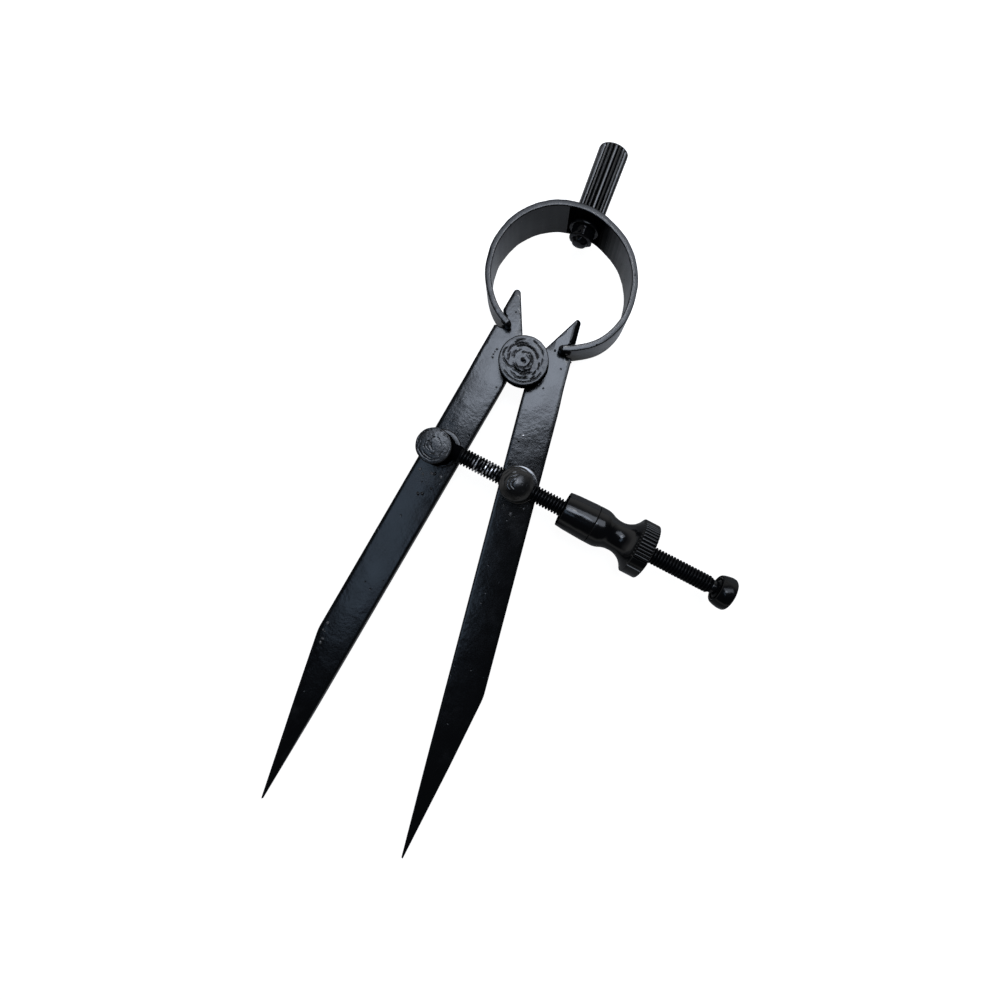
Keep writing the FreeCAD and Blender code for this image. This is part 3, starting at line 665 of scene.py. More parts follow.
@built_once
def cut_flutes(name):
    """Grooves along a turned piece about X, a little unevenly spaced and cut."""
    inputs = {
        "Count": 20, "Depth": 0.5, "Ridge": 0.5, "Roundness": 1.0, "Unevenness": 0.1, "Phase": 0.0,
        "Start": 0.0, "End": 30.0, "Fade": 0.5, "Seed": 1.0,
    }  # fmt: skip
    tree, given, result = geometry_tree(name, inputs)
    calc = partial(add_math, tree)
    ridge, uneven, seed = given["Ridge"], given["Unevenness"], given["Seed"]
    x, y, z = point_place(tree)
    angle = calc("ARCTAN2", z, y)
    warp = calc("SINE", calc("ADD", calc("MULTIPLY", angle, 5.0), seed))
    sway = calc("SINE", calc("MULTIPLY_ADD", angle, 9.0, seed))
    warp = calc("MULTIPLY", calc("ADD", warp, sway), uneven)
    lane = calc("DIVIDE", calc("ADD", angle, given["Phase"]), 2 * math.pi)
    lane = calc("ADD", calc("MULTIPLY", lane, given["Count"]), warp)
    saw = calc("ABSOLUTE", calc("SUBTRACT", calc("MULTIPLY", calc("FRACT", lane), 2.0), 1.0))
    groove = calc("DIVIDE", calc("SUBTRACT", saw, ridge), calc("SUBTRACT", 1.0, ridge))
    groove = calc("MINIMUM", calc("MAXIMUM", groove, 0.0), 1.0)
    arc = calc("SQRT", calc("SUBTRACT", 1.0, calc("POWER", groove, 2.0)))
    bulge = calc("SUBTRACT", calc("SUBTRACT", 1.0, arc), groove)
    groove = calc("ADD", groove, calc("MULTIPLY", bulge, given["Roundness"]))
    values = {"Vector": joined(tree, calc("ROUND", lane), seed)}
    draw = add_node(tree, "ShaderNodeTexWhiteNoise", values, noise_dimensions="3D").outputs["Value"]
    share = calc("SUBTRACT", 1.0, calc("MULTIPLY", draw, calc("MULTIPLY", uneven, 3.0)))
    entry = calc("DIVIDE", calc("SUBTRACT", x, given["Start"]), given["Fade"])
    leave = calc("DIVIDE", calc("SUBTRACT", given["End"], x), given["Fade"])
    inside = calc("MAXIMUM", calc("MINIMUM", calc("MINIMUM", entry, leave), 1.0), 0.0)
    cut = calc("MULTIPLY", calc("MULTIPLY", groove, share), calc("MULTIPLY", inside, given["Depth"]))
    reach = calc("SQRT", calc("ADD", calc("POWER", y, 2.0), calc("POWER", z, 2.0)))
    keep = calc("SUBTRACT", 1.0, calc("DIVIDE", cut, calc("MAXIMUM", reach, 0.01)))
    across = [calc("MULTIPLY", value, keep) for value in (y, z)]
    tree.links.new(moved(tree, given["Geometry"], x, *across), result)
    return tree


@built_once
def enamel_drops(name):
    """Flat drops of enamel on the points of a mesh, of uneven size and outline."""
    tree, given, result = geometry_tree(name, {"Radius": 0.4, "Flatness": 0.45, "Seed": 3})
    calc = partial(add_math, tree)

    def draw(kind, low, high):
        values = {"Min": low, "Max": high, "Seed": given["Seed"]}
        return add_node(tree, "FunctionNodeRandomValue", values, data_type=kind).outputs["Value"]

    ball = add_node(tree, "GeometryNodeMeshIcoSphere", {"Radius": 1.0, "Subdivisions": 3})
    smooth = add_node(tree, "GeometryNodeSetShadeSmooth", {"Geometry": ball.outputs["Mesh"]})
    width = calc("MULTIPLY", draw("FLOAT", 0.45, 1.0), given["Radius"])
    length = calc("MULTIPLY", width, draw("FLOAT", 0.8, 1.5))
    values = {
        "Points": given["Geometry"],
        "Instance": smooth.outputs[0],
        "Rotation": draw("FLOAT_VECTOR", (0, 0, 0), (0, 0, math.pi)),
        "Scale": joined(tree, width, length, calc("MULTIPLY", width, given["Flatness"])),
    }
    copies = add_node(tree, "GeometryNodeInstanceOnPoints", values)
    tree.links.new(copies.outputs[0], result)
    return tree


# Pieces


LEG_INNER, LEG_OUTER, LEG_REACH, LEG_HALF = 2.75, 17.9, 203.2, 3.0
TAPER_START, THINNING, POINT_WIDTH, POINT_HALF = -131.4, 42.0, 0.7, 0.45
THROAT_SLOPE = 0.645
BEARING = 5.65


def leg_outline(throat, horn_round, seat):
    """Outline of a leg in its own frame, anticlockwise from the point."""
    tip_up = throat + (LEG_OUTER - LEG_INNER) / THROAT_SLOPE
    points = [
        (LEG_INNER, -LEG_REACH, 0.1),
        (LEG_INNER + POINT_WIDTH, -LEG_REACH, 0.2),
        (LEG_OUTER, TAPER_START, 2.0),
        (LEG_OUTER, seat - 3.2, 0.5),
        (LEG_OUTER - 3.0, seat - 2.9, 0.7),
        (LEG_OUTER - 3.0, seat + 1.3, 0.9),
        (LEG_OUTER, seat + 3.2, 0.6),
    ]
    outline = rounded_profile(points, steps=3)[:-1] + [(LEG_OUTER, seat + 3.2)]
    half_angle = math.atan(THROAT_SLOPE) / 2
    centre = (LEG_OUTER - horn_round, tip_up - horn_round / math.tan(half_angle))
    last = math.radians(180) - 2 * half_angle
    for step in range(9):
        angle = last * step / 8
        outline.append((centre[0] + horn_round * math.cos(angle), centre[1] + horn_round * math.sin(angle)))
    slope = Vector((THROAT_SLOPE, 1)).normalized()
    start = Vector((LEG_INNER, throat))
    along = start.dot(slope)
    reach = -along + math.sqrt(max(0, along * along - start.length_squared + BEARING**2))
    entry = start + slope * reach
    first = math.atan2(entry.y, entry.x)
    final = -math.acos(LEG_INNER / BEARING)
    for step in range(15):
        angle = first + (final - first) * step / 14
        outline.append((BEARING * math.cos(angle), BEARING * math.sin(angle)))
    return outline


def leg_width(up):
    if up > TAPER_START:
        return LEG_OUTER - LEG_INNER
    share = (up + LEG_REACH) / (TAPER_START + LEG_REACH)
    return POINT_WIDTH + (LEG_OUTER - LEG_INNER - POINT_WIDTH) * max(0, share)


def leg_half(up):
    share = min(1, max(0, (up + LEG_REACH) / THINNING))
    return POINT_HALF + (LEG_HALF - POINT_HALF) * share


def leg_form(outline, crown, horn_bevel):
    """Slab from an outline, crossed with cuts so that its faces can be crowned and thinned."""
    form = bmesh.new()
    front = [form.verts.new((x, y, LEG_HALF)) for x, y in outline]
    back = [form.verts.new((x, y, -LEG_HALF)) for x, y in outline]
    form.faces.new(front)
    form.faces.new(list(reversed(back)))
    join_rings(form, back, front, len(outline))
    bmesh.ops.recalc_face_normals(form, faces=form.faces)
    weights = form.edges.layers.float.new("bevel_weight_edge")
    for line in form.edges:
        if line.is_manifold and line.calc_face_angle(0) > math.radians(30):
            line[weights] = 1.0
    cuts = [((0, up, 0), (0, 1, 0)) for up in (*range(-200, 12, 4), 12.6, 13.8, 16, 18, 20, 22)]
    cuts += [((out, 0, 0), (1, 0, 0)) for out in (4.0, 5.6, 7.6, 10.3, 13.0, 15.0, 16.25)]
    for place, normal in cuts:
        everything = form.verts[:] + form.edges[:] + form.faces[:]
        bmesh.ops.bisect_plane(form, geom=everything, plane_co=place, plane_no=normal, dist=1e-4)
    for line in form.edges:
        if line[weights] > 0:
            middle = (line.verts[0].co + line.verts[1].co) / 2
            slim = min(leg_width(middle.y), 2 * leg_half(middle.y)) / 3.2
            line[weights] = max(0.12, min(1.0, slim))
    for vert in form.verts:
        width = leg_width(vert.co.y)
        across = (vert.co.x - LEG_INNER) / width * 2 - 1
        level = 1 - min(1, across * across)
        lift = crown * level * min(1, width / 15) * min(1, max(0, -vert.co.y - 4) / 12)
        side = 1 if vert.co.z > 0 else -1
        vert.co.z = side * (leg_half(vert.co.y) + lift)
        if horn_bevel and side > 0:
            slope = min(1, max(0, (vert.co.x - LEG_OUTER + horn_bevel) / horn_bevel))
            reach = min(1, max(0, (vert.co.y - 12.6) / 1.2))
            vert.co.z -= 1.3 * slope * reach
    return form


class LegsOperator(bpy.types.Operator):
    """Build both legs, with rounded edges, a slight crown and drops of enamel"""

    bl_idname = "divider.legs"
    bl_label = "Legs"

    # Side, height of the throat, rounding of the horn, height of the bow's seat, bevel of the horn,
    # in millimetres.
    legs = {"left": (-1, 4.8, 1.5, 11.5, 0.0), "right": (1, 2.2, 1.25, 10.4, 1.65)}
    # Outward shift of the inner and of the outer edge, in millimetres.
    edge_shift = {"left": (-0.25, -0.2), "right": (-0.15, 0.35)}
    # Drops on the front: how far out and up, and how much of the steel shows.
    drops = {
        "left": (
            (14.5, -55.9, 0.1), (12.5, -57.0, 0.1), (9.5, -55.0, 0.15), (8.4, -54.6, 0), (5.7, -54.4, 0.15),
            (4.5, -53.1, 0), (11.3, -59.8, 0), (10.3, -64.7, 0), (8.9, -63.9, 0), (6.7, -60.3, 0),
            (12.1, 0.2, 0.1), (12.3, -1.0, 0.12), (12.3, -2.2, 0.1), (12.0, -3.4, 0.1), (13.0, 16.5, 0),
            (15.4, -127.3, 0.13), (14.7, -130.9, 0.11), (15.6, -130.6, 0.08), (14.0, -133.8, 0.05),
            (14.0, -135.5, 0.07),
        ),
        "right": (
            (6.8, -55.4, 0.05), (10.1, -58.0, 0.1), (11.7, -58.8, 0), (13.3, -54.7, 0), (14.6, -54.7, 0.1),
            (15.7, -50.6, 0.1), (7.0, -26.9, 1.0), (6.1, -29.5, 0), (4.6, -38.7, 0), (10.7, 8.6, 0),
            (10.0, -6.9, 0), (17.9, 5.6, 0),
        ),
    }  # fmt: skip

    def execute(self, context):
        shape = context.scene.divider_shape
        bevel = {
            "width": shape.edge_round / MM, "segments": 3, "limit_method": "WEIGHT",
            "use_clamp_overlap": False,
        }  # fmt: skip
        for name, (side, throat, horn_round, seat, horn_bevel) in self.legs.items():
            outline = leg_outline(throat, horn_round, seat)
            form = leg_form(outline, shape.leg_crown / MM, horn_bevel)
            self.shift_edges(form, *self.edge_shift[name])
            mesh = bpy.data.meshes.new(f"{name}_leg_slab")
            form.to_mesh(mesh)
            form.free()
            mesh = apply_modifier(mesh, "BEVEL", bevel)
            coat, place = enamel("leg_enamel"), leg_matrix(side)
            new_piece(f"{name}_leg_blade", mesh, f"{name}_arm", f"{name}_leg", coat, place, smooth=50)
            self.add_drops(shape, name, side)
        return {"FINISHED"}

    def shift_edges(self, form, inner, outer):
        """Move the long edges a little outward or inward below the pivot, less and less towards the point."""
        for vert in form.verts:
            share = min(1, max(0, (vert.co.x - LEG_INNER) / leg_width(vert.co.y)))
            fade = min(1, max(0, (-vert.co.y - 6) / 8), max(0, (vert.co.y + LEG_REACH) / 40))
            vert.co.x += (inner * (1 - share) + outer * share) * fade

    def add_drops(self, shape, name, side):
        spots, coat = self.drops[name], enamel("drop_enamel")
        mesh = bpy.data.meshes.new(f"{name}_leg_drop_points")
        mesh.from_pydata([(out, up, LEG_HALF + 0.05) for out, up, _ in spots], [], [])
        radius = shape.drop_size / MM
        values = {"Radius": radius, "Flatness": 0.8, "Seed": 4 + side, "Material": coat}
        drops = run_tree(enamel_drops(), mesh, values)
        bare = drops.attributes.new("bare", "FLOAT", "POINT")
        share = len(drops.vertices) // len(spots)
        for index in range(len(drops.vertices)):
            bare.data[index].value = spots[index // share][2]
        place = leg_matrix(side)
        new_piece(f"{name}_leg_drops", drops, f"{name}_arm", None, coat, place, smooth=80)


def push_over(vert, shift, share):
    """Move a point of an upright turned piece by a share of a shift to the right and to the handle."""
    vert.co.z -= shift[0] * share
    vert.co.y += shift[1] * share


class FulcrumOperator(bpy.types.Operator):
    """Build the fulcrum, with the rough turning marks of its front face"""

    bl_idname = "divider.fulcrum"
    bl_label = "Fulcrum"

    rim = 8.75
    steps = 320
    # How far the skirt behind the head is pushed to the right and to the handle, in millimetres.
    skirt_shift = (0.25, 0.55)
    # Broken rings of the turned face: first and last radius, first angle, sweep in degrees, depth
    # and width. Short ones at random are added to them, up to this radius.
    short_count, short_reach = 26, 8.3
    marks = (
        (5.2, 5.8, 22, 118, 1.4, 0.22), (7.9, 4.6, 188, 50, 1.2, 0.21), (4.6, 4.2, 236, 98, 1.4, 0.24),
        (2.4, 2.9, 300, 130, 1.1, 0.16), (3.9, 2.9, 212, 60, 0.9, 0.16), (2.6, 2.5, 260, 60, 1.1, 0.17),
        (6.9, 6.3, 258, 52, 1.2, 0.18), (7.6, 7.5, 310, 20, 1.1, 0.16), (6.2, 6.0, 345, 30, 0.9, 0.16),
        (3.6, 3.5, 330, 60, 0.6, 0.15), (8.1, 7.4, 106, 36, 1.1, 0.18), (6.6, 6.8, 92, 70, 0.6, 0.16),
        (7.6, 7.9, 30, 50, 0.6, 0.18), (8.0, 8.1, 160, 34, 0.7, 0.15), (6.9, 6.7, 150, 28, 0.7, 0.15),
        (8.1, 8.2, 230, 120, 0.7, 0.15), (5.4, 5.4, 268, 64, 0.7, 0.15),
    )  # fmt: skip

    def execute(self, context):
        rear_head, head, neck, top = 6.9, 9.6, 5.6, 11.8
        profile = [(-9.5, 0), (-9.5, rear_head, 0.5), (-3.08, rear_head, 0.25), (-3.08, neck, 0.0)]
        profile += [(3.08, neck, 0.0), (3.08, head + 0.05, 0.2), (3.7, head, 0.5)]
        profile += [(5.2, head - 0.05, 0.6), (top, head, 0.5), (top, self.rim)]
        form = turned(profile, 2.0, 5, steps=self.steps, wobble=0.12)
        for vert in form.verts:
            if 3.0 < vert.co.x < 6.0 and math.hypot(vert.co.y, vert.co.z) > 9.0:
                push_over(vert, self.skirt_shift, (6.0 - vert.co.x) / 3.0)
        self.add_face(form, top, context.scene.divider_shape.face_ridges / MM)
        mesh = to_mesh(form, "fulcrum_spool")
        place = Matrix.Translation((0, 0, MID_HEIGHT)) @ Matrix.Rotation(math.radians(-90), 4, "Y")
        coat = enamel("fulcrum_enamel")
        piece = new_piece("fulcrum_spool", mesh, "head", "fulcrum", coat, place, smooth=60)
        # Painted shade: the side wall of the head gets the black without any shine.
        paint_shade_on_faces(piece, lambda centre, normal: centre.z > 12.5 and normal.z < 0.6)
        return {"FINISHED"}

    def add_face(self, form, level, ridge):
        """Polar grid whose height follows the broken rings and the small boss in the middle."""
        marks = (*self.marks, *short_marks(self.short_count, self.short_reach, 11))
        rings, before = 92, None
        for ring in range(rings + 1):
            radius = self.rim * (1 - ring / rings)
            fade = min(1, (self.rim - radius) / 0.4)
            row = []
            for step in range(self.steps if radius > 1e-6 else 1):
                angle = 2 * math.pi * step / self.steps
                y, z = radius * math.cos(angle), radius * math.sin(angle)
                height = level + ridge * self.face_height(marks, -z, y) * fade
                row.append(form.verts.new((height, y, z)))
            if before:
                join_rings(form, before, row, self.steps)
            before = row

    def face_height(self, marks, x, y):
        """Height of the turned face, as a share of the mark height, at a point of the tool's frame."""
        here = Vector((x, y, 0))
        height = 0.16 * noise.noise(here * 0.7) + 0.06 * noise.noise(here * 2.4)
        height += scored(marks, x, y, 4)
        height += 1.5 * math.exp(-((x + 0.25) ** 2 + (y - 0.1) ** 2) / 0.35)
        return height - 0.9 * math.exp(-((x - 0.45) ** 2 + (y + 0.35) ** 2) / 0.3)


def bow_centre(side, angle, step):
    """Point of the bow's strip at an angle in degrees from the handle, step out of its middle line."""
    radius, end_radius, turn_at = 28.3, 25.0, 95.0
    t = math.radians(angle)
    if angle <= turn_at:
        x, y = (radius + step) * math.sin(t), (radius + step) * math.cos(t)
    else:
        shift, turn = radius - end_radius, math.radians(turn_at)
        x = shift * math.sin(turn) + (end_radius + step) * math.sin(t)
        y = shift * math.cos(turn) + (end_radius + step) * math.cos(t)
    return BOW_CENTRE[0] + side * x, BOW_CENTRE[1] + y


# How far the bow strays outward from its arcs, in millimetres, by angle in degrees about its centre
# from +X.
BOW_STRAY = (
    (-95, 0.2), (-60, 0.5), (-38, 0.9), (-15, 0.75), (12, 0.2), (42, -0.1), (66, -0.46), (92, 0.0),
    (122, 0.5), (148, 0.58), (172, 0.25), (188, -0.2), (216, -0.55), (240, -0.3), (275, -0.1),
)  # fmt: skip


def eased(table, value):
    """Value of a table of (place, amount) between its points, eased at each of them."""
    for (first, low), (last, high) in zip(table, table[1:]):
        if value <= last:
            share = max(0, (value - first) / (last - first))
            return low + (high - low) * share * share * (3 - 2 * share)
    return table[-1][1]


class BowOperator(bpy.types.Operator):
    """Build the bow spring as two halves"""

    bl_idname = "divider.bow"
    bl_label = "Bow spring"

    thickness = 2.4
    width = 19.0
    slot_half = 3.15
    # The strip leans at the handle: its rear edge lies this far from its front edge, and less and
    # less of that towards the ends.
    lean = (1.1, -2.14)
    lean_fade = ((0, 1.0), (62, 1.0), (105, 0.62), (150, 0.0))
    # Last angles of the prongs that straddle the legs.
    ends = {"left": 162.3, "right": 165.4}
    # Where the painted shade by the fixing starts, and then the last angle and the gloss of each strip: the
    # inner side is black without shine by the fixing and glossier strip by strip away from it.
    shade_from = -14.0
    strips = (
        (17, 0.0), (20, 0.006), (23, 0.02), (26, 0.05), (29, 0.1),
        (33, 0.18), (37, 0.3), (42, 0.5), (48, 0.8), (75, 1.0),
    )  # fmt: skip

    def execute(self, context):
        for name, side, body in (("left", -1, "left_arm"), ("right", 1, "right_arm")):
            mesh = self.half(name, side)
            coat = enamel("bow_enamel")
            piece = new_piece(f"bow_{name}_half", mesh, None, None, coat, smooth=50)
            # Painted shade on the inner side of the bow by the fixing.
            self.paint_inner_shade(piece)
            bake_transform(piece)
            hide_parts("bow_spring")
        return {"FINISHED"}

    def paint_inner_shade(self, piece):
        """Paint shade on the inner side in strips: black without any shine by the fixing, and glossier strip
        by strip away from it, so that the wall darkens towards the fixing.
        """
        piece.data.materials.append(enamel("painted_shade_black"))
        for index, (_, gloss) in enumerate(self.strips[1:]):
            piece.data.materials.append(enamel(f"bow_enamel_{index}", "bow_enamel", gloss=gloss))
        for polygon in piece.data.polygons:
            centre = polygon.center / MM
            across, up = centre.x - BOW_CENTRE[0], centre.y - BOW_CENTRE[1]
            facing = polygon.normal.x * across + polygon.normal.y * up
            angle = math.degrees(math.atan2(across, up)) + 2.0 * noise.noise(centre * 0.4)
            if facing > -0.7 * math.hypot(across, up):
                continue
            if self.shade_from < angle < self.strips[-1][0]:
                strip = next(i for i, (last, _) in enumerate(self.strips) if angle < last)
                polygon.material_index = 1 + strip

    def half(self, name, side):
        form = bmesh.new()
        web_end = self.angle_at(side, 15.1)
        edge = self.width / 2
        self.strip(form, side, 0.0, web_end, -edge, edge, False)
        for low, high in ((self.slot_half, edge), (-edge, -self.slot_half)):
            self.strip(form, side, web_end, self.ends[name], low, high, True)
        return to_mesh(form, f"bow_{name}_half")

    def angle_at(self, side, out):
        """Angle at which the strip's middle line reaches a distance out from the pivot line."""
        angle = 140.0
        sine, cosine = math.sin(HALF_OPENING), math.cos(HALF_OPENING)
        while angle < 165:
            x, y = bow_centre(side, angle, 0)
            if side * x * cosine + y * sine < out:
                return angle
            angle += 0.05
        raise RuntimeError("the bow misses the leg's seat")

    def strip(self, form, side, first, last, low, high, prong):
        """Sweep a rounded rectangle along the bow between two angles."""
        count = max(6, math.ceil((last - first) / 1.5))
        middle = (low + high) / 2
        outline = rounded_rectangle(self.thickness, high - low, 0.4, steps=5)
        sections = []
        for index in range(count + 1):
            share = index / count
            angle = first + (last - first) * share
            thin = 1 - 0.55 * max(0, share - 0.7) / 0.3 if prong else 1
            short = 0.8 * (max(0, share - 0.6) / 0.4) ** 2 if prong else 0
            ring = []
            for across, up in outline:
                x, y = self.bent(side, angle, across * thin, middle + up)
                z = middle + up * (1 - short * abs(up) / (high - low))
                here = Vector((x, y, z))
                dent = 0.07 * noise.noise(here * 0.35) + 0.03 * noise.noise(here * 1.6)
                ring.append(Vector((x + dent * side, y + dent, MID_HEIGHT + z + dent * 0.5)))
            sections.append(ring if side > 0 else list(reversed(ring)))
        sweep(form, sections)

    def bent(self, side, angle, step, height):
        """Point of the strip with the real bow's stray from its arcs and its lean."""
        x, y = bow_centre(side, angle, step)
        outward = Vector((x - BOW_CENTRE[0], y - BOW_CENTRE[1])).normalized()
        shift = outward * eased(BOW_STRAY, 90 - side * angle)
        shift += Vector(self.lean) * ((0.5 - height / self.width) * eased(self.lean_fade, angle))
        return x + shift.x, y + shift.y


class HandleOperator(bpy.types.Operator):
    """Build the fluted handle and its fixing inside the bow"""

    bl_idname = "divider.handle"
    bl_label = "Handle"

    radius = 6.0
    # From and to where the floors of the flutes get painted shade: black without any shine.
    shaded_run = (0.0, 27.35)
    # The nut's flats lie this far from its axis.
    nut_flat = 4.55

    def execute(self, context):
        shape = context.scene.divider_shape
        coat, depth = enamel("handle_enamel"), shape.flute_depth / MM
        profile = [(-1.9, 0.0), (-1.9, 5.7, 0.15), (27.45, self.radius, 0.3), (27.8, 5.5, 0.3), (27.9, 0.0)]
        blank = to_mesh(turned(profile, 1.2, 5, steps=560), "handle_blank")
        values = {
            "Count": shape.flute_count, "Depth": depth, "Ridge": 0.24, "Roundness": 0.3,
            "Unevenness": 0.035, "Phase": 0.08, "Start": -0.2, "End": 27.55, "Fade": 0.5,
            "Seed": 2.0, "Material": coat,
        }  # fmt: skip
        mesh = run_tree(cut_flutes(), blank, values)
        piece = new_piece("handle_grip", mesh, "head", "handle", coat, handle_matrix(), smooth=35)
        to_handle = handle_matrix().inverted()
        half_deep = self.radius - 0.5 * depth
        # Painted shade: the floors of the flutes get the black without any shine.
        paint_shade_on_faces(piece, lambda centre, _: in_groove(to_handle @ centre, *self.shaded_run, half_deep))
        self.add_fixing()
        return {"FINISHED"}

    def add_fixing(self):
        """The tenon's domed end, the washer and the nut, all a little out of line with the handle."""
        place = handle_matrix() @ Matrix.Translation((-1.1, 0, 0)) @ Matrix.Rotation(math.radians(6), 4, "Y")
        tenon = [(0.3, 0.0), (0.3, 3.38, 0.0), (-9.3, 3.38, 0.5), (-11.3, 2.6, 0.9), (-11.6, 0.0)]
        low, high, rim = -5.05, -3.62, 6.0
        disc = [(high, 3.45), (high, rim, 0.5), (low, rim, 0.5), (low, 3.45)]
        nut = [(-5.1, 3.4), (-5.1, 5.1, 0.6), (-9.2, 4.9, 1.2), (-9.5, 3.4)]
        hexagon = turned(nut, 0.5, 5, steps=96)
        for vert in hexagon.verts:
            reach = math.hypot(vert.co.y, vert.co.z)
            if reach > 3.5:
                angle = math.atan2(vert.co.z, vert.co.y)
                turn = (angle + math.pi / 6) % (math.pi / 3) - math.pi / 6
                flat = self.nut_flat / math.cos(turn)
                target = min(reach, flat) + 0.3 * noise.noise(vert.co * 0.6)
                vert.co.y *= target / reach
                vert.co.z *= target / reach
        for name, replaced, form in (
            ("handle_tenon", None, turned(tenon, 0.8, steps=64, wobble=0.25, seed=3.0)),
            ("handle_washer_disc", "handle_washer", turned(disc, 0.7, steps=72, wobble=0.22, seed=9.0)),
            ("handle_nut_hex", "handle_nut", hexagon),
        ):
            new_piece(name, to_mesh(form, name), "head", replaced, enamel("fixing_enamel"), place)


Post = namedtuple(
    "Post",
    "side body crown rim hole radius short_marks mark_height top_shift collar_shift coat collar_coat",
)


class PostsOperator(bpy.types.Operator):
    """Build the two posts with their collars and back washers"""

    bl_idname = "divider.posts"
    bl_label = "Posts"

    # Sizes in millimetres, and how far the post's top and its collar are off its foot.
    posts = {
        "left": Post(
            -1, "screw_carrier", 0.45, 0.5, 0.0, 6.85, 12, 0.13, (-0.68, 0.04), (0.9, 0.65),
            "flat_post_enamel", "collar_enamel",
        ),
        "right": Post(
            1, "stud", 2.9, 1.2, 3.95, 6.7, 4, 0.1, (0.0, 0.0), (0.8, 0.35),
            "post_enamel", "bright_collar_enamel",
        ),
    }  # fmt: skip
    top = 17.0
    # Broken rings of the posts' tops, as on the fulcrum.
    marks = {
        "left": (
            (5.6, 5.3, 200, 120, 0.9, 0.22), (4.4, 4.7, 222, 70, 0.8, 0.2), (1.3, 1.2, 130, 150, 0.8, 0.26),
            (2.7, 3.3, 20, 70, 0.8, 0.22), (6.1, 6.1, 10, 190, 0.8, 0.18),
        ),
        "right": (
            (1.7, 1.9, 110, 170, 1.6, 0.3), (2.9, 3.0, 100, 150, 1.5, 0.3), (4.2, 4.1, 105, 110, 1.3, 0.28),
            (5.6, 5.5, 60, 150, 1.2, 0.24), (3.4, 3.8, 300, 90, 0.8, 0.26),
        ),
    }  # fmt: skip

    def execute(self, context):
        for name, post in self.posts.items():
            shoulder = self.top - post.crown
            profile = [(-5.55, 0.0), (-5.4, 3.9, 0.5), (-4.08, 4.6, 0.25), (-4.08, 3.2, 0.0)]
            profile += [(4.4, 3.2, 0.0), (4.4, post.radius, 0.2), (shoulder, post.radius, post.rim)]
            steps = 9
            for step in range(1, steps):
                inward = 1 - step / steps
                up = shoulder + post.crown * (1 - inward**2)
                profile.append((up, post.radius * inward, 0.3))
            profile.append((self.top, 0.0))
            form = bmesh.new()
            profile = self.close_at_top(rounded_profile(profile, steps=3))
            lathe(form, profile, steps=168, wobble=0.14, seed=2.0 * post.side)
            mesh = to_mesh(form, f"{name}_post_stud")
            self.score_top(mesh, name, post, shoulder - post.rim)
            mesh.transform(post_matrix(post.side))
            if post.hole:
                mesh = self.bored(mesh, post)
            coat = enamel(post.coat)
            piece = new_piece(f"{name}_post_stud", mesh, post.body, f"{name}_post", coat, smooth=35)
            # Painted shade: the upper side walls of the posts get the black without any shine.
            paint_shade_on_faces(piece, lambda centre, normal: centre.z > 13.8 and normal.z < 0.35)
            self.add_washers(name, post)
        return {"FINISHED"}

    def close_at_top(self, profile):
        """Fine steps over the top, where the marks are, and coarse ones below it."""
        first = next(index for index, (along, radius) in enumerate(profile) if along > 12)
        return dense(profile[:first], 1.5) + dense(profile[first - 1 :], 0.28)[1:]

    def score_top(self, mesh, name, post, start):
        """Cut the turned marks into the top, and push the post over by as much as it leans."""
        foot = 4.3
        marks = (*self.marks[name], *short_marks(post.short_marks, 6.0, 20 + post.side))
        for vert in mesh.vertices:
            height = vert.co.x
            if height > start:
                cut = scored(marks, -vert.co.z, vert.co.y, 9 + post.side)
                vert.co.x += post.mark_height * cut * min(1, (height - start) / 0.4)
            if height > foot:
                push_over(vert, post.top_shift, (height - foot) / (self.top - foot))

    def bored(self, mesh, post):
        """Cut the screw's cross hole through a post."""
        form = bmesh.new()
        lathe(form, [(10.0, 0.0), (10.0, post.hole), (60.0, post.hole), (60.0, 0.0)], steps=64)
        drill = to_mesh(form, "cross_hole")
        x, y = leg_to_world(post.side, *RIGHT_POST)
        shift = Vector((math.sin(SCREW_ANGLE), math.cos(SCREW_ANGLE), 0)) * 0.2
        place = Matrix.Translation(Vector((x, y, SCREW_HEIGHT)) + shift)
        turn = Matrix.Rotation(-SCREW_ANGLE, 4, "Z")
        drill.transform(place @ turn @ Matrix.Translation((-35, 0, 0)))
        cutter = add_object("cross_hole", drill)
        settings = {"operation": "DIFFERENCE", "solver": "EXACT", "object": cutter}
        result = apply_modifier(mesh, "BOOLEAN", settings)
        bpy.data.objects.remove(cutter)
        return result

    def add_washers(self, name, post):
        coat, place = enamel(post.collar_coat), post_matrix(post.side)
        rings = (("collar", 3.0, 4.32, 7.65, 0.55, 0.1), ("back_washer", -4.0, -3.04, 5.55, 0.3, 0.05))
        for kind, low, high, radius, edge, wobble in rings:
            ring = [(high, 3.26), (high, radius, edge), (low, radius, edge * 0.5), (low, 3.26)]
            form = turned(ring, 1.5, steps=96, wobble=wobble, seed=5.0 + post.side)
            if kind == "collar":
                for vert in form.verts:
                    reach = math.hypot(vert.co.y, vert.co.z)
                    push_over(vert, post.collar_shift, min(1, max(0, reach - 4.0) / 2.0))
            mesh = to_mesh(form, f"{name}_{kind}_ring")
            replaced = f"{name}_post_{kind}"
            new_piece(f"{name}_{kind}_ring", mesh, f"{name}_arm", replaced, coat, place)


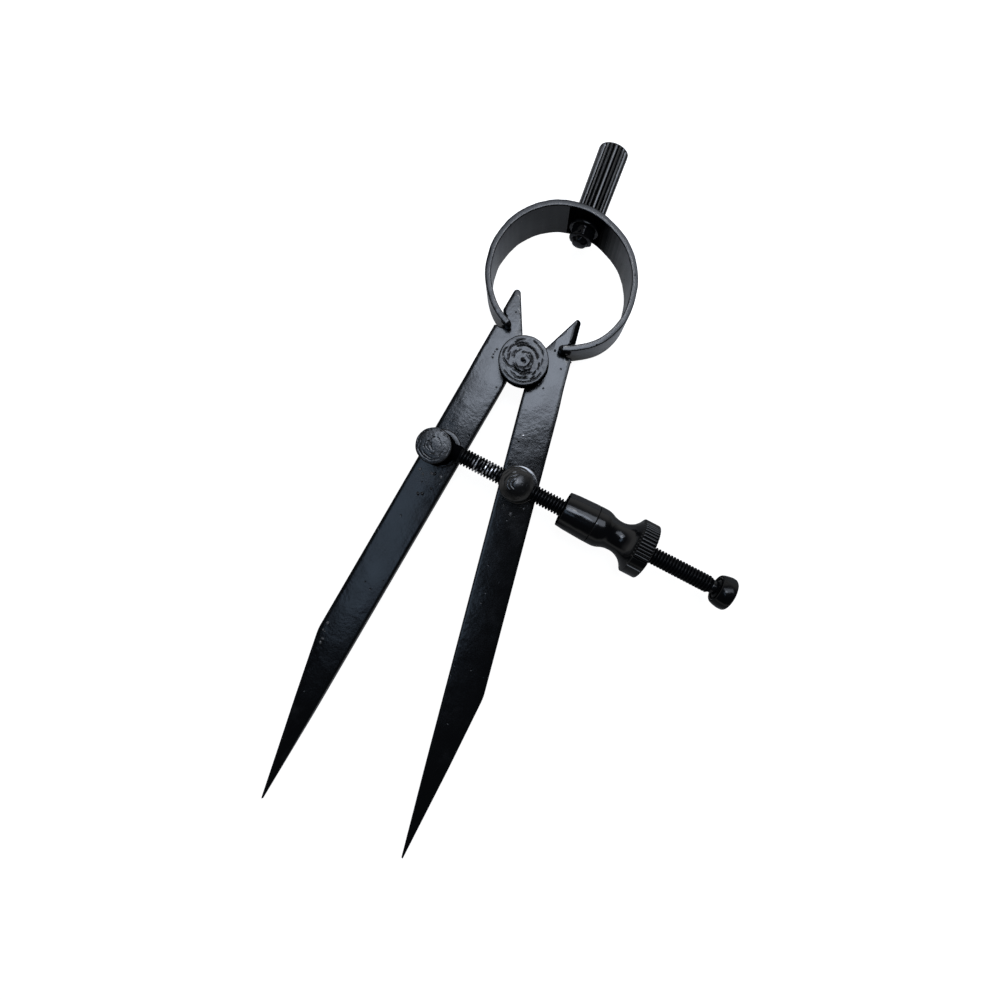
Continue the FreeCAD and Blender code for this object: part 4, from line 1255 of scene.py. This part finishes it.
class ScrewOperator(bpy.types.Operator):
    """Build the adjusting screw with its helical thread, its plain ends and the cross pin"""

    bl_idname = "divider.screw"
    bl_label = "Screw"

    crest = 3.4
    # From and to where the crests near the left post are rubbed bare.
    worn_run = (14.5, 26)

    def execute(self, context):
        shape, coat, place = context.scene.divider_shape, enamel("thread_enamel"), screw_matrix()
        seed = bpy.data.meshes.new("thread_seed")
        seed.from_pydata([(0, 0, 0)], [], [])
        values = {
            "Start": 9.0, "Length": 108.4, "Radius": self.crest, "Depth": shape.thread_depth / MM,
            "Pitch": shape.thread_pitch / MM, "Material": coat,
        }  # fmt: skip
        thread = run_tree(helical_thread(), seed, values)
        self.wear_crests(thread)
        new_piece("screw_thread", thread, "screw_carrier", "adjusting_screw", coat, place, smooth=28)
        tail = [(-6.0, 0.0), (-6.0, 3.175, 0.3), (9.0, 3.175, 0.0), (9.4, 2.4, 0.0), (9.4, 0.0)]
        neck = [(116.0, 0.0), (116.0, 2.4, 0.0), (116.8, 2.4, 0.0), (117.4, 2.68, 0.2)]
        neck += [(119.15, 2.68, 0.1), (119.2, 2.2, 0), (123.0, 2.2, 0.1), (123.0, 0.0)]
        form = bmesh.new()
        lathe(form, rounded_profile(tail), steps=48)
        lathe(form, rounded_profile(neck), steps=48, wobble=0.05)
        mesh, ends = to_mesh(form, "screw_plain_ends"), enamel("screw_end_enamel")
        piece = new_piece("screw_plain_ends", mesh, "screw_carrier", None, ends, place)
        to_screw = place.inverted()
        # Painted shade: the plain tail by the left post gets the black without any shine.
        paint_shade_on_faces(piece, lambda centre, _: (to_screw @ centre).x < 10)
        form = bmesh.new()
        pin = [(0.1, 0.0), (0.1, 1.0, 0.1), (4.75, 1.0, 0.3), (5.05, 0.0)]
        lathe(form, rounded_profile(pin), steps=32)
        across = place @ Matrix.Rotation(math.radians(90), 4, "Z")
        mesh = to_mesh(form, "screw_pin_end")
        new_piece("screw_pin_end", mesh, "screw_carrier", "screw_pin", coat, across)
        return {"FINISHED"}

    def wear_crests(self, mesh):
        """Let the steel show on the crests where the coating has rubbed off."""
        bare = mesh.attributes.new("bare", "FLOAT", "POINT")
        first, last = self.worn_run
        for index, vert in enumerate(mesh.vertices):
            along, reach = vert.co.x, math.hypot(vert.co.y, vert.co.z)
            if not first < along < last or reach < self.crest - 0.12:
                continue
            spot = noise.noise(Vector((along * 0.9, vert.co.y * 0.7, vert.co.z * 0.7 + 3)))
            fade = min(1, (along - first) / 2, (last - along) / 2)
            bare.data[index].value = min(1, max(0, 0.25 + spot * 4)) * fade


def back_along_screw():
    """Direction from the nut to the left post."""
    return screw_matrix().to_3x3() @ Vector((-1, 0, 0))


class CapOperator(bpy.types.Operator):
    """Build the cap on the end of the screw"""

    bl_idname = "divider.cap"
    bl_label = "Cap"

    def execute(self, context):
        profile = [(119.22, 2.25), (119.22, 2.9, 0.5), (120.0, 3.9, 0.6), (119.45, 5.2, 0.3)]
        profile += [(119.7, 5.6, 0.35), (121.2, 6.2, 1.2), (123.4, 6.55, 1.8), (125.2, 6.4, 0.7)]
        profile += [(125.8, 5.3, 0.8), (125.9, 0.0)]
        mesh = to_mesh(turned(profile, 1.2, 6, steps=112, wobble=0.1, seed=7.0), "cap_button")
        place, coat = screw_matrix(), enamel("cap_enamel")
        piece = new_piece("screw_cap_button", mesh, "screw_carrier", "screw_cap", coat, place, smooth=35)
        to_screw, back = place.inverted(), back_along_screw()
        # Painted shade: the cap's inner face towards the nut gets the black without any shine.
        paint_shade_on_faces(piece, lambda centre, normal: (to_screw @ centre).x < 120.2 and normal.dot(back) > 0.93)
        return {"FINISHED"}


class NutOperator(bpy.types.Operator):
    """Build the thrust sleeve and the knurled adjusting nut"""

    bl_idname = "divider.nut"
    bl_label = "Adjusting nut"

    bore = 3.5
    flange = 11.1
    # From and to where the floors of the knurl's grooves get painted shade: black without any shine.
    shaded_run = (83.8, 89.4)
    # Parts of the flange's edge without grooves, from and to these angles in degrees.
    plain_lands = ((112.0, 128.0), (134.5, 172.0))

    def execute(self, context):
        self.add_sleeve()
        self.add_nut(context.scene.divider_shape)
        return {"FINISHED"}

    def closed(self, curve, spacing):
        """Profile of a tube around the bore, from a curve that starts and ends at its outside."""
        first, last = curve[0][0], curve[-1][0]
        points = rounded_profile([(first, self.bore), *curve, (last, self.bore)])
        return dense(points, spacing) + [(first, self.bore)]

    def add_sleeve(self):
        curve = [(53.72, 6.95, 0.25), (57.0, 7.3, 1.5), (62.4, 7.55, 2.0), (66.22, 7.66, 0.22)]
        form = bmesh.new()
        lathe(form, self.closed(curve, 1.0), steps=128, wobble=0.04)
        mesh, coat, place = to_mesh(form, "sleeve_tube"), enamel("nut_enamel"), screw_matrix()
        piece = new_piece("thrust_sleeve_tube", mesh, "sleeve", "thrust_sleeve", coat, place, smooth=35)
        back = back_along_screw()
        # Painted shade: the sleeve's end face towards the left post gets the black without any shine.
        paint_shade_on_faces(piece, lambda centre, normal: normal.dot(back) > 0.8)

    def add_nut(self, shape):
        curve = [(66.36, 7.66, 0.22), (69.9, 7.66, 0.8), (71.6, 7.2, 0.5), (73.2, 6.47, 0.5)]
        curve += [(74.7, 6.08, 0.8), (77.1, 5.96, 1.2), (79.1, 6.42, 1.0), (81.2, 7.6, 0.8)]
        curve += [(82.6, 9.15, 0.6), (83.5, 10.6, 0.2), (83.7, self.flange, 0.25)]
        curve += [(89.55, self.flange, 0.35), (89.8, 10.6, 0.2)]
        form = bmesh.new()
        lathe(form, self.closed(curve, 0.8), steps=576)
        coat, depth, place = enamel("nut_enamel"), shape.knurl_depth / MM, screw_matrix()
        values = {
            "Count": shape.knurl_count, "Depth": depth, "Ridge": 0.2, "Roundness": 0.8,
            "Unevenness": 0.08, "Phase": 0.03, "Start": 83.1, "End": 90.2, "Fade": 0.5,
            "Seed": 5.0, "Material": coat,
        }  # fmt: skip
        blank = to_mesh(form, "nut_blank")
        before = [vert.co.copy() for vert in blank.vertices]
        mesh = run_tree(cut_flutes(), blank, values)
        for vert, plain in zip(mesh.vertices, before):
            angle = math.degrees(math.atan2(plain.z, plain.y)) % 360
            if any(first < angle < last for first, last in self.plain_lands):
                vert.co = plain
        piece = new_piece("adjusting_nut_knob", mesh, "nut", "adjusting_nut", coat, place, smooth=32)
        to_screw, half_deep = place.inverted(), self.flange - 0.5 * depth
        # Painted shade: the floors of the knurl's grooves get the black without any shine.
        paint_shade_on_faces(piece, lambda centre, _: in_groove(to_screw @ centre, *self.shaded_run, half_deep))


class StageOperator(bpy.types.Operator):
    """Set up the floor, the soft boxes, the sky and the camera"""

    bl_idname = "divider.stage"
    bl_label = "Stage"

    # The camera looks down from here, in millimetres, turned about X, Y and then Z, in radians.
    camera_place = (16.028, -48.709, 254.720)
    camera_turn = (0.0084, -0.0217, -0.3935)
    focal_share = 0.61353
    # Soft boxes: centre and size as slopes from straight up, across and up the picture, and colour.
    lamp_distance = 3.0
    lamps = {
        "key_box": ("key_level", (0.03, 0.21), (0.3, 0.2), (0.87, 0.98, 1.17)),
        "wide_box": ("wide_level", (0.23, 0.37), (0.76, 0.54), (0.9, 0.98, 1.13)),
        "side_box": ("side_level", (-0.25, -0.05), (0.21, 0.38), (0.72, 0.97, 1.32)),
        "glint": ("glint_level", (0.115, 0.36), (0.05, 0.05), (1.0, 1.0, 1.0)),
    }
    # Painted shade on the floor: under the legs it keeps only this share of its colour, and it gains the rest
    # over this part of Y, in metres.
    floor_shade = 0.3
    floor_change = (-0.022, 0.022)
    # How bright the floor is to the camera, and what share of that glossy surfaces mirror.
    floor_glow = 0.95
    floor_mirrored = 0.07
    # Strength of the sky everywhere, and of a band at the horizon.
    sky_rest = 0.035
    sky_band = 0.42

    def execute(self, context):
        stage = context.scene.divider_stage
        axes = self.add_camera(context)
        self.add_floor(stage)
        for name, (level, *settings) in self.lamps.items():
            self.add_lamp(name, axes, getattr(stage, level), *settings)
        self.add_sky(context, stage, axes)
        context.scene.view_settings.view_transform = "Standard"
        return {"FINISHED"}

    def add_camera(self, context):
        x, y, z = self.camera_turn
        turn = Matrix.Rotation(x, 3, "X") @ Matrix.Rotation(y, 3, "Y") @ Matrix.Rotation(z, 3, "Z")
        data = bpy.data.cameras.new("camera")
        data.lens = data.sensor_width * self.focal_share
        data.clip_start = 0.005
        camera = add_object("camera", data)
        place = Matrix.Translation(Vector(self.camera_place) * MM)
        camera.matrix_world = place @ turn.transposed().to_4x4()
        context.scene.camera = camera
        return turn.transposed()

    def add_floor(self, stage):
        """Floor under the three points that the divider rests on: the fulcrum and the two needle points."""
        reach, rear_head = 6.0, 6.9
        tilt = math.atan2(9.05, 201.3 - rear_head)
        mesh = bpy.data.meshes.new("floor")
        corners = [(-reach, -reach, 0), (reach, -reach, 0), (reach, reach, 0), (-reach, reach, 0)]
        mesh.from_pydata(corners, [], [(0, 1, 2, 3)])
        place = Matrix.Translation((0, -rear_head * MM, -0.00005))
        mesh.transform(place @ Matrix.Rotation(-tilt, 4, "X"))
        floor = add_object("floor", mesh)
        mesh.materials.append(self.floor_material(stage))

    def floor_material(self, stage):
        material = bpy.data.materials.new("white_floor")
        material.use_nodes = True
        tree = material.node_tree
        calc = partial(add_math, tree)
        shader = tree.nodes["Principled BSDF"]
        place = tree.nodes.new("ShaderNodeTexCoord").outputs["Object"]
        # Painted shade: the floor is darker under the legs, which darkens its reflections in the pieces
        # there.
        outside_floor_shade = add_ramp(tree, add_along(tree, place, (0, 1, 0)), *self.floor_change)
        shaded = tuple(self.floor_shade * value for value in stage.floor)
        values = {
            "Base Color": add_mix(tree, outside_floor_shade, shaded, stage.floor),
            "Roughness": 0.9,
            "Specular IOR Level": 0.0,
        }
        fill_inputs(tree, shader, values)
        rays = tree.nodes.new("ShaderNodeLightPath").outputs
        mirrored = calc("MULTIPLY", rays["Is Glossy Ray"], self.floor_mirrored)
        seen = calc("MAXIMUM", rays["Is Camera Ray"], mirrored)
        seen = calc("MAXIMUM", seen, rays["Is Transmission Ray"])
        values = {"Strength": calc("MULTIPLY", seen, self.floor_glow)}
        glow = add_node(tree, "ShaderNodeEmission", values)
        total = add_node(tree, "ShaderNodeAddShader", {0: shader.outputs[0], 1: glow.outputs[0]})
        fill_inputs(tree, tree.nodes["Material Output"], {"Surface": total.outputs[0]})
        return material

    def add_lamp(self, name, axes, level, centre, size, colour):
        distance = self.lamp_distance
        data = bpy.data.lights.new(name, "AREA")
        data.shape = "RECTANGLE"
        data.size, data.size_y = size[0] * distance, size[1] * distance
        data.energy = level * math.pi * data.size * data.size_y
        data.color = colour
        lamp = add_object(name, data)
        place = axes @ Vector((*centre, 1)) * distance + Vector((0, -0.05, 0))
        away = place.normalized()
        across = (axes @ Vector((1, 0, 0))).cross(away).cross(away) * -1
        across.normalize()
        turn = Matrix((across, away.cross(across), away)).transposed().to_4x4()
        lamp.matrix_world = Matrix.Translation(place) @ turn

    def add_sky(self, context, stage, axes):
        """White to the camera. To the object, dark overhead and lighter towards the horizon."""
        world = bpy.data.worlds.new("sky")
        context.scene.world = world
        world.use_nodes = True
        tree = world.node_tree
        calc = partial(add_math, tree)
        gaze = tree.nodes.new("ShaderNodeTexCoord").outputs["Generated"]

        def step(axis, low, high):
            return add_ramp(tree, add_along(tree, gaze, axis), low, high)

        outward = step(axes @ Vector((0, 0, 1)), 0.86, 0.3)
        upper_left = step(axes @ Vector((-0.35, 0.94, 0)), -0.25, 0.5)
        level = calc("MULTIPLY", calc("MULTIPLY", outward, upper_left), stage.sky_level)
        band = calc("MULTIPLY", step((0, 0, 1), 0.4, 0.2), self.sky_band)
        level = calc("ADD", calc("MAXIMUM", level, band), self.sky_rest)
        seen = tree.nodes.new("ShaderNodeLightPath").outputs["Is Camera Ray"]
        hidden = calc("MULTIPLY", level, calc("SUBTRACT", 1.0, seen))
        values = {"Strength": calc("ADD", hidden, seen), "Color": (1, 1, 1, 1)}
        fill_inputs(tree, tree.nodes["Background"], values)


class DividerPanel(bpy.types.Panel):
    """Lists the pieces of the divider"""

    bl_idname = "VIEW3D_PT_divider"
    bl_label = "Spring divider"
    bl_space_type = "VIEW_3D"
    bl_region_type = "UI"
    bl_category = "Divider"

    def draw(self, context):
        for group in (context.scene.divider_shape, context.scene.divider_finish, context.scene.divider_stage):
            box = self.layout.box()
            for name in group.bl_rna.properties.keys():
                if name not in ("rna_type", "name"):
                    box.prop(group, name)
        for operator in PIECES:
            self.layout.operator(operator.bl_idname)


PIECES = (
    LegsOperator,
    FulcrumOperator,
    BowOperator,
    HandleOperator,
    PostsOperator,
    ScrewOperator,
    CapOperator,
    NutOperator,
    StageOperator,
)
GROUPS = (DividerShape, DividerFinish, DividerStage)
CLASSES = GROUPS + PIECES + (DividerPanel,)


def register():
    for item in CLASSES:
        bpy.utils.register_class(item)
    bpy.types.Scene.divider_shape = PointerProperty(type=DividerShape)
    bpy.types.Scene.divider_finish = PointerProperty(type=DividerFinish)
    bpy.types.Scene.divider_stage = PointerProperty(type=DividerStage)


def unregister():
    del bpy.types.Scene.divider_shape
    del bpy.types.Scene.divider_finish
    del bpy.types.Scene.divider_stage
    for item in reversed(CLASSES):
        bpy.utils.unregister_class(item)


def main():
    register()
    for operator in PIECES:
        group, name = operator.bl_idname.split(".")
        getattr(getattr(bpy.ops, group), name)()


if __name__ == "__main__":
    main()
